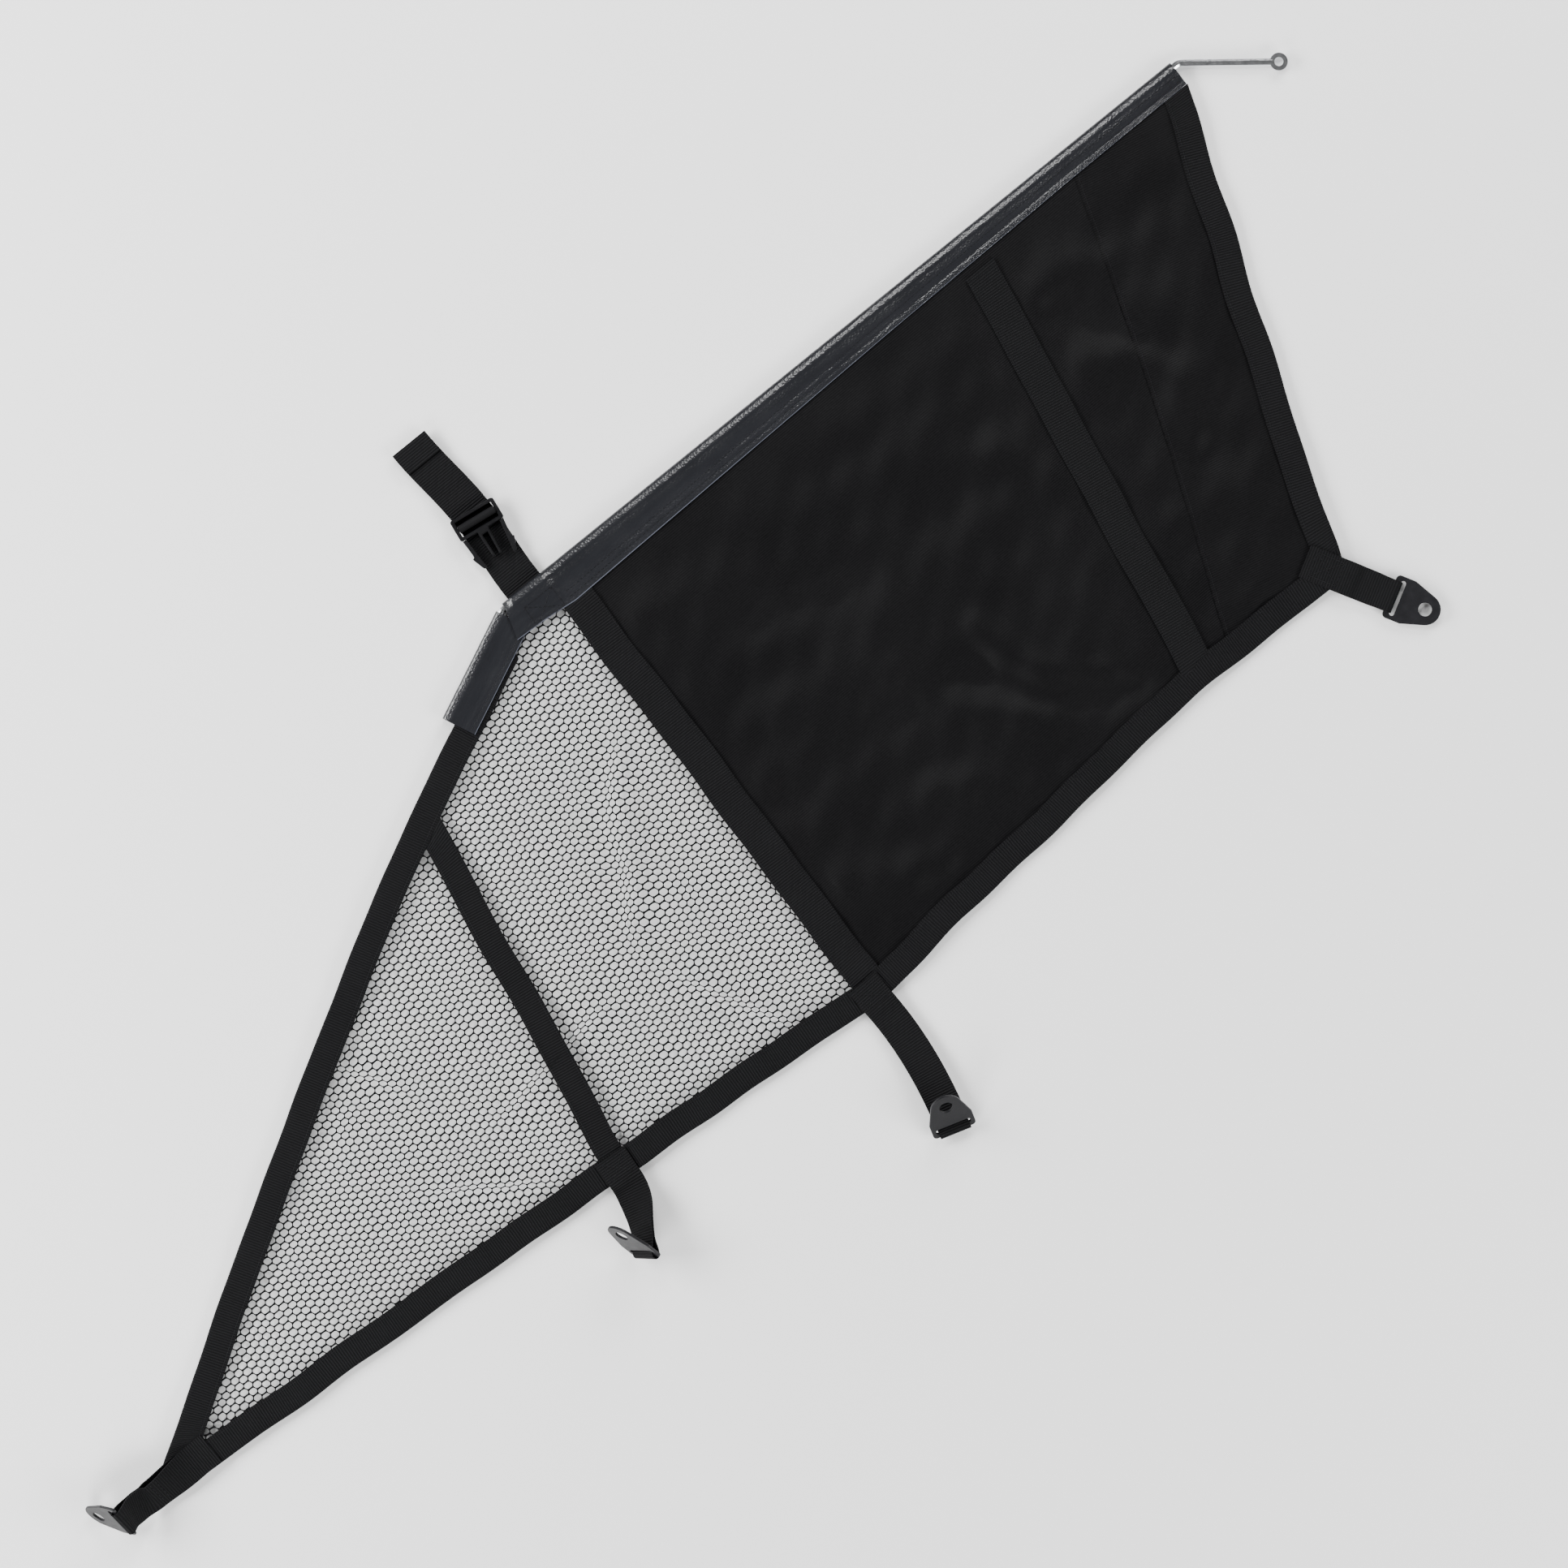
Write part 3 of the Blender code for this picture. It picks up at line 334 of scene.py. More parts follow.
# Tucks where the netting is bunched: both ends of each, and how wide it is
netting_tucks = [((-96, -96), (-46, -190), 9), ((-55, 20), (-100, -60), 12), ((-255, -100), (-150, -85), 10),
                 ((-330, -110), (-260, -160), 8), ((-300, -40), (-330, 10), 8), ((-20, 60), (-60, 20), 9)]


def cell_outline():
    """One cell's corners, where the strands meet, and the corners of its rounded hole."""
    near = [across_pitch, across_pitch + down_pitch, down_pitch]
    near = [*near, *(-n for n in near)]
    corners = []
    for a, b in zip(near, near[1:] + near[:1]):
        corners.append(np.linalg.solve(np.array([a, b]), np.array([a @ a, b @ b]) / 2))
    half = [thin_strand, thin_strand, thick_strand] * 2
    sides = [(n / np.linalg.norm(n), np.linalg.norm(n) / 2 - h) for n, h in zip(near, half)]
    hole = []
    for (a, reach_a), (b, reach_b) in zip(sides, sides[1:] + sides[:1]):
        hole.append(np.linalg.solve(np.array([a, b]), np.array([reach_a, reach_b])))
    return np.array(corners), np.array(hole)


def inside(points, outline):
    """Which points lie inside a closed plan outline."""
    x, y = points[:, 0], points[:, 1]
    odd = np.zeros(len(points), bool)
    for (x0, y0), (x1, y1) in zip(outline, np.roll(outline, -1, axis=0)):
        odd ^= ((y0 > y) != (y1 > y)) & (x < (x1 - x0) * (y - y0) / (y1 - y0 + 1e-12) + x0)
    return odd


def tucked(x, y, tucks):
    """The plan points drawn in towards each tuck, and how far each tuck lifts them."""
    lift, drawn_in, tuck_height, soft_end = np.zeros_like(x), 0.42, 1.8 * mm, 0.12
    for (ax, ay), (bx, by), wide in tucks:
        a, b, wide = np.array((ax, ay)) * mm, np.array((bx, by)) * mm, wide * mm
        way = (b - a) / np.linalg.norm(b - a)
        along = (x - a[0]) * way[0] + (y - a[1]) * way[1]
        off = (x - a[0]) * -way[1] + (y - a[1]) * way[0]
        span = np.linalg.norm(b - a)
        fade = 1 / (1 + np.exp(-along / (soft_end * span))) / (1 + np.exp((along - span) / (soft_end * span)))
        bell = fade * np.exp(-((off / wide) ** 2))
        x, y = x + way[1] * off * drawn_in * bell, y - way[0] * off * drawn_in * bell
        lift = lift + tuck_height * bell
    return x, y, lift


def net_cells(name, outline):
    """All whole cells of the netting whose middles lie inside the outline, as a flat sheet with thickness."""
    corners, hole = cell_outline()
    steps_out, corner_cut, weld_distance = 140, 0.2, 0.00003
    steps = np.arange(-steps_out, steps_out + 1)
    i, j = np.meshgrid(steps, steps)
    middles = i.reshape(-1, 1) * across_pitch + j.reshape(-1, 1) * down_pitch
    middles = middles[inside(middles, outline)]
    before = hole + (np.roll(hole, 1, axis=0) - hole) * corner_cut
    after = hole + (np.roll(hole, -1, axis=0) - hole) * corner_cut
    inner = np.stack([before, after], 1).reshape(-1, 2)
    shape = np.vstack([corners, inner])
    plan = (middles[:, None, :] + shape[None]).reshape(-1, 2)
    top = np.column_stack([plan, np.full(len(plan), netting_thickness / 2)])
    points = np.vstack([top, top * (1, 1, -1)])
    sides, rim, under = len(corners), len(inner), len(plan)
    quads = [(k, (k + 1) % sides, sides + 2 * ((k + 1) % sides), sides + 2 * k + 1) for k in range(sides)]
    thirds = [(k, sides + 2 * k + 1, sides + 2 * k) for k in range(sides)]
    faces = []
    for base in range(0, len(plan), len(shape)):
        for f in quads + thirds:
            faces.append([base + q for q in f])
            faces.append([under + base + q for q in reversed(f)])
        for k in range(rim):
            a, b = base + sides + k, base + sides + (k + 1) % rim
            faces.append([b, a, under + a, under + b])
    mesh = bpy.data.meshes.new(name)
    mesh.from_pydata(points.tolist(), [], faces)
    piece = bpy.data.objects.new(name, mesh)
    bpy.context.scene.collection.objects.link(piece)
    bpy.context.view_layer.objects.active = piece
    piece.select_set(True)
    bpy.ops.object.mode_set(mode="EDIT")
    bpy.ops.mesh.select_all(action="SELECT")
    bpy.ops.mesh.remove_doubles(threshold=weld_distance)
    bpy.ops.mesh.normals_make_consistent(inside=False)
    bpy.ops.object.mode_set(mode="OBJECT")
    flat = np.empty(len(mesh.vertices) * 3, np.float32)
    mesh.vertices.foreach_get("co", flat)
    flat = flat.reshape(-1, 3).astype(float)
    x, y, z = flat.T
    x, y, lift = tucked(x, y, netting_tucks)
    slack, fine_slack = 0.5 * mm, 0.22 * mm
    x, y = (x + slack * swell(x, y, 0.05, 31) + fine_slack * swell(x, y, 0.017, 32),
            y + slack * swell(y, x, 0.055, 33) + fine_slack * swell(x, y, 0.019, 34))
    z = z + lying_height + lie(x, y) + lift
    mesh.vertices.foreach_set("co", np.stack([x, y, z], 1).astype(np.float32).ravel())
    mesh.materials.append(netting.material)
    bpy.ops.object.shade_smooth_by_angle(angle=radians(40))
    piece.select_set(False)
    return piece


fold_top, fold_foot = np.array((-161.3, 180.9)) * mm, np.array((-225.4, -180.1)) * mm
netting_inset, fold_height = 9 * mm, 0.0061
front_tuck, bottom_tuck = offset(front_edge, netting_inset), offset(bottom_edge, netting_inset)
fold_way = (fold_top - fold_foot) / np.linalg.norm(fold_top - fold_foot)
fold_out = np.array((-fold_way[1], fold_way[0]))
under_strap = fold_top - fold_out * 11 * mm, fold_foot - fold_out * 11 * mm
front_part = np.vstack([clipped(front_tuck, *under_strap[::-1]), clipped(bottom_tuck, *under_strap[::-1])])
middle_part = np.vstack([clipped(front_tuck, *under_strap)[::-1][:-4], [(0.0165, 0.1745)]])
middle_part = np.vstack([middle_part,
                         clipped(clipped(bottom_tuck, *under_strap), (0.012, -1), (0.012, 1))[::-1]])
front_netting = net_cells("front_netting", front_part)
middle_netting = net_cells("middle_netting", middle_part)
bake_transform(front_netting)
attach(middle_netting, "net")
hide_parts("mesh_panel_front")
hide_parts("mesh_panel_middle")


# ---- Cloth panels -------------------------------------------------------------------------------
# Two pieces of tight black woven cloth, joined by a seam that slants down from the sleeve.
# Handling has left creases in them, most of them between the rear strap and the seam.

cloth = Look("shade_cloth", roughness=0.6, specular_IOR_level=0.07)
cord_pitch, pick_pitch = 1.6 * mm, 0.9 * mm
grain_way, rib_way = cloth.uv()
cord_phase = rib_way * (2 * pi / cord_pitch)
cord = cord_phase.sum("SINE", cord_phase) * 0.5 + 0.5
pick_phase = (grain_way + rib_way * 0.3) * (2 * pi / pick_pitch)
pick = pick_phase.sum("SINE", pick_phase) * 0.5 + 0.5
slub = cloth.noise(cloth.add("TexCoord", output="UV"), 420, 4, 0.7)
soil = cloth.noise(cloth.add("TexCoord", output="UV"), 9, 5, 0.6)
weave = cord * (pick * 0.5 + 0.5) * 0.7 + slub * 0.6
cloth.feed(base_color=cloth.blend(weave * 0.8 + soil * 0.25 - 0.2, (0.0008, 0.0008, 0.001),
                                  (0.0105, 0.0102, 0.011)),
           roughness=soil * 0.15 + 0.38)
cloth.bump(weave, 0.12 * mm)

# Creases in the cloth: the points each runs through, how wide it is and how high it stands
cloth_creases = [
    ([(168, -30), (190, -80), (222, -112), (232, -140)], 13, 2.4),
    ([(215, -60), (232, -100), (262, -128), (300, -150)], 12, -3.0),
    ([(236, -40), (252, -92), (290, -128)], 11, 2.8), ([(90, -52), (150, -44), (200, -58)], 18, -2.2),
    ([(52, -128), (100, -152), (150, -140)], 16, 2.2), ([(140, -112), (175, -136), (196, -168)], 13, 2.2),
    ([(292, 66), (330, 44), (356, 0), (372, -30)], 16, 2.2), ([(110, 66), (210, 40), (290, 52)], 26, -2.2),
    ([(60, 110), (90, 20), (80, -60)], 22, 2.0), ([(330, -60), (300, -90), (262, -98)], 14, 2.0),
    ([(402, 140), (425, 122), (452, 126), (474, 106)], 14, 2.5),
    ([(430, 98), (450, 70), (474, 26)], 16, -3.0),
    ([(416, 62), (445, 46), (464, 8), (450, -30)], 14, 2.8), ([(398, 22), (420, 0), (440, -44)], 16, -2.2),
    ([(378, -58), (410, -80), (430, -58)], 16, 2.0), ([(343, -118), (372, -140), (382, -172)], 14, -2.0),
    ([(484, 56), (508, 75), (545, 74)], 22, 1.7), ([(455, -32), (478, -25), (508, -42)], 19, -1.7),
    ([(505, 118), (530, 135), (566, 130)], 22, -1.7), ([(400, -150), (430, -138), (458, -150)], 16, 1.7),
    ([(440, -90), (470, -110), (486, -90)], 20, 1.6),
]


def creased(x, y, creases):
    """How far the creases lift the cloth at each plan point."""
    lift = np.zeros_like(x)
    for path, wide, high in creases:
        line = curve_through(path, 4 * mm)
        nearest = np.full(x.shape, 1.0)
        for px, py in line:
            nearest = np.minimum(nearest, (x - px) ** 2 + (y - py) ** 2)
        lift += high * mm * np.exp(-nearest / (wide * mm) ** 2)
    return lift


def beside(x, y, line):
    """The distance from each plan point to the nearest point of a line."""
    nearest = np.full(x.shape, 1.0)
    for px, py in line:
        nearest = np.minimum(nearest, np.hypot(x - px, y - py))
    return nearest


def cloth_panel(name, left, right, top, bottom, rows, columns, seam_step, grain=0.0):
    """A panel whose four sides follow plan lines, each a function of its share from 0 to 1."""
    s, t = np.linspace(0, 1, rows)[:, None, None], np.linspace(0, 1, columns)[None, :, None]
    up, low = top(s[:, 0, 0])[:, None, :], bottom(s[:, 0, 0])[:, None, :]
    fore, aft = left(t[0, :, 0])[None], right(t[0, :, 0])[None]
    corners = (1 - s) * (1 - t) * up[0] + s * (1 - t) * up[-1] + (1 - s) * t * low[0] + s * t * low[-1]
    plan = (1 - t) * up + t * low + (1 - s) * fore + s * aft - corners
    x, y = plan[..., 0], plan[..., 1]
    free = np.clip((0.163 - y) / 0.05, 0, 1) * np.clip((y - bottom_height(x) - 0.014) / 0.02, 0.1, 1)
    free = free * np.clip((beside(x, y, rear_edge[::2]) - 0.020) / 0.02, 0, 1)
    for ends in strap_lines:
        free = free * np.clip((beside(x, y, even(np.array(ends) * mm, 4 * mm)) - 0.012) / 0.014, 0.12, 1)
    puckers = 0.6 * mm * swell(x, y, 0.034, 12) + 1.1 * mm * swell(x, y, 0.085, 13)
    lift = creased(x, y, cloth_creases) * free + puckers * free
    seam_width, lowest_dip, cloth_thickness = 3 * mm, -2.6 * mm, 0.9 * mm
    seam = seam_step * np.exp(-((beside(x, y, seam_line[::2]) / seam_width) ** 2))
    z = lying_height + lie(x, y) + np.maximum(lift, lowest_dip) + seam
    u, v = x * cos(grain) + y * sin(grain), y * cos(grain) - x * sin(grain)
    border = np.vstack([plan[:, 0], plan[-1], plan[::-1, -1], plan[0, ::-1]])
    return grid_piece(name, np.stack([x, y, z], 2), u, v, cloth, cloth_thickness), cut_of(border)


def bottom_height(x):
    return np.interp(x, bottom_edge[:, 0], bottom_edge[:, 1])


def straight(a, b):
    a, b = np.array(a) * mm, np.array(b) * mm
    return lambda t: a + (b - a) * np.asarray(t)[:, None]


def along_line(line, x0, x1):
    part = line[(line[:, 0] >= x0) & (line[:, 0] <= x1)]
    reach = np.linspace(0, 1, len(part))
    return lambda t: np.stack([np.interp(t, reach, part[:, 0]), np.interp(t, reach, part[:, 1])], 1)


strap_lines = [((24.4, 160.0), (12.7, -193.5)), ((401.5, 159.0), (342.0, -165.5))]
bottom_inside = offset(bottom_edge, 8 * mm)
seam_line = curve_through([(500.0, 178.0), (437.1, 1.3), (366.5, -172.6)], 4 * mm)
seam_share = lambda t: np.stack([np.interp(t, np.linspace(0, 1, len(seam_line)), seam_line[:, k]) for k in (0,
    1)], 1)
front_side, main_top = straight((26.5, 175.0), (14.2, -198.0)), straight((26.5, 175.0), (500.0, 178.0))
back_side, rear_top = straight((589.0, 172.0), (472.0, -172.0)), straight((500.0, 178.0), (589.0, 172.0))
main_cloth, main_cut = cloth_panel("main_cloth", front_side, seam_share, main_top,
                                   along_line(bottom_inside, 0.0145, 0.366), 170, 120, 0.5 * mm)
rear_cloth, rear_cut = cloth_panel("rear_cloth", seam_share, back_side, rear_top,
                                   along_line(bottom_inside, 0.367, 0.472), 60, 120, -0.5 * mm, radians(-13))
for piece, node in ((main_cloth, "fabric_panel_main"), (rear_cloth, "fabric_panel_rear")):
    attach(piece, "net")
    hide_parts(node)


# ---- Webbing on the edges -----------------------------------------------------------------------
# Black polyester webbing with cross ribs, folded over the cloth's edge and sewn through.
# The thread has drawn it up in places, so it ripples.

webbing = Look("webbing_black", roughness=0.6, specular_IOR_level=0.055)
rib_pitch, yarn_pitch = 1.9 * mm, 0.9 * mm
long_way, wide_way = webbing.uv()
wander = webbing.noise(webbing.add("TexCoord", output="UV"), 420, 2)
rib_phase = (long_way + wander * 0.35 * mm) * (2 * pi / rib_pitch)
rib = rib_phase.sum("SINE", rib_phase) * 0.5 + 0.5
yarn_phase = (wide_way + long_way * 0.5) * (2 * pi / yarn_pitch)
yarn = yarn_phase.sum("SINE", yarn_phase) * 0.5 + 0.5
fuzz = webbing.noise(webbing.add("TexCoord", output="UV"), 1500, 3)
wear = webbing.noise(webbing.add("TexCoord", output="UV"), 25, 4)
rib_relief_and_shade = rib * (yarn * 0.35 + 0.65) + fuzz * 0.3
# The rib relief also sets the colour: painted shade darkens the rib troughs and painted highlight lightens
# the crests.
webbing.feed(base_color=webbing.blend(rib_relief_and_shade * 0.6 + wear * 0.3, (0.0004, 0.0004, 0.0005),
                                      (0.0115, 0.0115, 0.0125)),
             roughness=wear * 0.25 + 0.5)
webbing.bump(rib_relief_and_shade, 0.45 * mm)


def ripple(u, seed, high=0.55):
    """The webbing's own ripples along its length."""
    return high * mm * (swell(u, u * 0, 0.045, seed) * 0.7 + swell(u, u * 0, 0.021, seed + 50) * 0.4)


def edge_strip(name, line, profile, seed, start_lean=0.0, end_lean=0.0, thickness=1.1 * mm, high=0.55,
               sink=(0, 0)):
    """Webbing along a plan line: the profile gives offsets and heights. Its ends may lean and sink."""
    normals, way = left_normals(line)
    u = run_along(line)
    lean_reach, sink_reach = 0.06, 9 * mm
    lean = start_lean * np.clip(1 - u / lean_reach, 0, 1) ** 2
    lean = lean + end_lean * np.clip(1 - (u[-1] - u) / lean_reach, 0, 1) ** 2
    profile = np.array(profile) * mm
    v = run_along(profile)
    d, h = profile[:, 0][None, :, None], profile[:, 1][None, :]
    plan = line[:, None] + (normals + way * lean[:, None])[:, None] * d
    free = np.clip(profile[:, 0] / (6 * mm), 0, 1) if profile[:, 0].min() > 0 else 1 + 0 * v
    wave = ripple(u, seed, high)[:, None] * np.where(h > 0.2 * mm, 1.0, 0.5) * free[None]
    dive = sink[0] * np.clip(1 - u / sink_reach, 0, 1)
    dive = dive + sink[1] * np.clip(1 - (u[-1] - u) / sink_reach, 0, 1)
    z = lying_height + lie(plan[..., 0], plan[..., 1]) + h + np.maximum(wave, -0.3 * mm) * np.sign(h + 1e-9)
    z = np.maximum(z - dive[:, None] * mm, 0.7 * mm)
    return grid_piece(name, np.dstack([plan, z]), u, v, webbing, thickness)


folded = [(20.3, -1.42), (14, -1.42), (8, -1.42), (3, -1.42), (1.4, -1.25), (0.75, -0.65), (0.6, 0),
          (0.75, 0.65), (1.4, 1.25),
          (3, 1.42), (6, 1.42), (10, 1.42), (14, 1.42), (17.5, 1.42), (20.3, 1.42)]


def lean_of(line, cut, end):
    """How far along the line a cut leans for each metre across it."""
    normals, way = left_normals(line)
    cut = np.array(cut, float)
    return float(cut @ way[end] / (cut @ normals[end]))


bottom_inner = offset(bottom_edge, 20.3 * mm)
tip_cut = bottom_inner[12] - bottom_inner[0]
front_line = clipped(front_edge, bottom_inner[0], bottom_inner[12])
front_leans = lean_of(front_line, (-0.315, -1), 0), lean_of(front_line, tip_cut, -1)
front_binding = edge_strip("front_binding", front_line, folded, 5, *front_leans)
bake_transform(front_binding)
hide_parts("front_binding_upper", "front_binding_lower")

bottom_lean = lean_of(bottom_edge, rear_edge[1] - rear_edge[0], -1)
bottom_binding = edge_strip("bottom_binding", bottom_edge, folded, 7, 0.0, bottom_lean, high=0.75)
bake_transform(bottom_binding)
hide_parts("bottom_binding_front", "bottom_binding_rear")

rear_line = clipped(clipped(rear_edge, bottom_inner[-5], bottom_inner[-1]), (1, 0.1701), (0, 0.1701))
rear_leans = lean_of(rear_line, (-1, 0), 0), lean_of(rear_line, (-1, 0), -1)
rear_binding = edge_strip("rear_binding_strip", rear_line, folded, 11, *rear_leans, high=0.8)
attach(rear_binding, "net")
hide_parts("rear_binding")


# ---- Straps across the panels -------------------------------------------------------------------
# The same webbing, laid flat over the cloth and sewn down along both edges: one where the netting is
# joined to the cloth, one short of the front tab, and one that stops below the sleeve.


def flat_profile(width):
    half = width / 2
    return [(half, 1.4), (half * 0.86, 1.55), (half * 0.45, 1.62), (0, 1.6), (-half * 0.45, 1.62),
            (-half * 0.86, 1.55), (-half, 1.4)]


def cross_strap(name, top, foot, width, seed, node, high, top_way, sink):
    """A strap from one plan point to another, its top cut a given way, its foot along the binding."""
    line = wavy(even(np.array([top, foot]) * mm, 3 * mm), 0.8 * mm, seed + 7)
    beyond = 10 * mm
    rise = bottom_height(foot[0] * mm + beyond) - bottom_height(foot[0] * mm - beyond)
    foot_way = np.array((1.0, rise / (2 * beyond)))
    strap = edge_strip(name, line, flat_profile(width), seed, lean_of(line, top_way, 0),
                       lean_of(line, foot_way, -1), 1.0 * mm, high, sink)
    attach(strap, "net")
    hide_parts(node)
    return strap


front_strap = cross_strap("front_strap", (-164.6, 94.0), (-212.4, -175.5), 20, 21,
                          "cross_strap_front", 0.5, (1, 0.508), (1, 1))
middle_strap = cross_strap("middle_strap", *strap_lines[0], 25, 22,
                           "cross_strap_middle", 0.6, (1, 0.02), (1, 1))
rear_strap = cross_strap("rear_strap", *strap_lines[1], 25, 23, "cross_strap_rear", 0.9, (1, 0.02), (0, 1))


# ---- Vinyl sleeves ------------------------------------------------------------------------------
# Embossed vinyl wrapped round the rod and closed on the cloth with two rows of stitching. The buckle
# strap goes round the rod inside the long one, which shows as a raised square, and a painted highlight
# makes the cut edge paler.

vinyl = Look("sleeve_vinyl", roughness=0.25, specular_IOR_level=0.5)
girth = vinyl.uv()[1]
grain_at = vinyl.add("Mapping", None,
                     {"Vector": vinyl.add("TexCoord", output="UV"), "Scale": (1.0, 1.4, 1.0)})
grain = vinyl.add("TexVoronoi", {"feature": "SMOOTH_F1"},
                  {"Vector": grain_at, "Scale": 620, "Smoothness": 0.5})
streak_at = vinyl.add("Mapping", None, {"Vector": vinyl.add("TexCoord", output="UV"), "Scale": (0.25, 3, 1)})
streak = vinyl.noise(streak_at, 60, 5, 0.65)
scuff = vinyl.noise(vinyl.add("TexCoord", output="UV"), 35, 5, 0.6)
# Painted highlight: the first 0.45 mm of girth, at the flap's cut edge, gets a much paler colour.
cut_edge_highlight = girth.sum("LESS_THAN", girth, 0.45 * mm)
tint = vinyl.blend(streak * 0.7 + scuff * 0.3, (0.0065, 0.0068, 0.0082), (0.0165, 0.0172, 0.0205))
vinyl.feed(base_color=vinyl.blend(cut_edge_highlight, tint, (0.07, 0.075, 0.095)), roughness=scuff * 0.2 + 0.14)
vinyl.bump(grain * 0.6 + scuff * 0.3, 0.25 * mm)


flap_rows = (4.7 * mm, 9.4 * mm)  # the two stitched rows, from the flap's cut edge


def sleeve(name, start, way, depth_at, half, length, slope, seed, node, bulge=None):
    """Vinyl from its top flap's edge round the rod to its lower flap's edge, from a sloping start."""
    fine_part = 48 * mm
    rows = [*np.arange(0, fine_part, 1.2 * mm), *np.arange(fine_part, length - 2 * mm, 4 * mm), length]
    rows = np.array(rows)
    arch = [(-12, 0), (-10, 0.35), (-8, 0.85), (-6, 1.45), (-4.4, 2.05), (-3.2, 2.45), (-2.1, 2.6),
            (-0.8, 2.4),
            (0.8, 2.0), (2.2, 1.6), (3.1, 0.9)]
    arch = np.array(arch) * mm
    round_it = np.linspace(0.28, 0.38 - pi, 12)
    ring = [(-1, t) for t in np.linspace(1, 0.04, 8)] + [(0, k) for k in range(1, len(arch))]
    ring += [(1, a) for a in round_it] + [(2, t) for t in np.linspace(0.16, 1, 7)]
    outward = np.array((-way[1], way[0]))
    points = np.empty((len(rows), len(ring), 3))
    radius, arch_foot, arch_level = 3.55 * mm, 12 * mm, 1.3 * mm
    for i, reach in enumerate(rows):
        depth = depth_at(reach)
        for j, (kind, a) in enumerate(ring):
            if kind == -1:
                y, h = -arch_foot - a * (depth - arch_foot), half
            elif kind == 0:
                y = arch[a, 0]
                h = arch_level + arch[a, 1] + (half - arch_level) * np.clip(-y / arch_foot, 0, 1)
            elif kind == 1:
                y, h = radius * cos(a), radius * sin(a)
            else:
                y, h = -a * depth, -half
            top = kind <= 0
            if kind == -1:
                h -= 0.3 * mm * sum(np.exp(-(((depth + y - at) / (0.7 * mm)) ** 2)) for at in flap_rows)
            if bulge is not None and top:
                h += bulge(reach, y)
            keep = max(0.0, 1 - reach / (30 * mm))
            at = start + way * (reach - (slope if top else 0.0) * y * keep) + outward * y
            points[i, j] = (*at, lying_height + h)
    v = run_along(points[len(rows) // 2])
    x, y = points[..., 0], points[..., 1]
    raised = points[..., 2] > lying_height
    points[..., 2] += np.where(raised, 0.22 * mm * swell(x, y, 0.03, seed), 0)
    piece = grid_piece(name, points, rows, v, vinyl, 0.95 * mm)
    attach(piece, "net")
    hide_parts(node)
    return piece


bend = np.array((-23.9, 184.8)) * mm
foot_depth = lambda reach: np.interp(bend[0] + 2.4 * mm + reach, sleeve_foot[:, 0],
                                     bend[1] - sleeve_foot[:, 1])


def strap_bulge(reach, y):
    """The buckle strap's raised square, and the front end's climb over the short sleeve."""
    soft = 0.7 * mm
    inside_it = 1 / (1 + np.exp(-(reach - 5 * mm) / soft)) / (1 + np.exp((reach - 38 * mm) / soft))
    square = 1.6 * mm * inside_it / (1 + np.exp(-(y + 18.5 * mm) / (0.6 * mm)))
    over = 2.9 * mm * np.clip((-y - 1 * mm) / (8 * mm), 0, 1) / (1 + np.exp((reach - 15 * mm) / (1.6 * mm)))
    return max(square, over)


long_vinyl = sleeve("long_vinyl_sleeve", bend + (2.4 * mm, 0), np.array((1.0, 0.0)), foot_depth,
                    1.3 * mm, 624.6 * mm, -0.315, 41, "long_sleeve", strap_bulge)
leg_way = np.array((-cos(radians(24.4)), -sin(radians(24.4))))
short_vinyl = sleeve("short_vinyl_sleeve", bend + leg_way * 90 * mm, -leg_way, lambda reach: 22.8 * mm,
                     2.8 * mm, 87.3 * mm, 0.0, 43, "short_sleeve")


# ---- Tab straps ---------------------------------------------------------------------------------
# Each tab is webbing sewn down on the net's edge with a boxed cross, run out, round the plate's bar
# and back under itself.

loop_radius, layer = 3.05 * mm, 0.75 * mm


def unit(heading, rise=0.0):
    return np.array((cos(heading) * cos(rise), sin(heading) * cos(rise), sin(rise)))


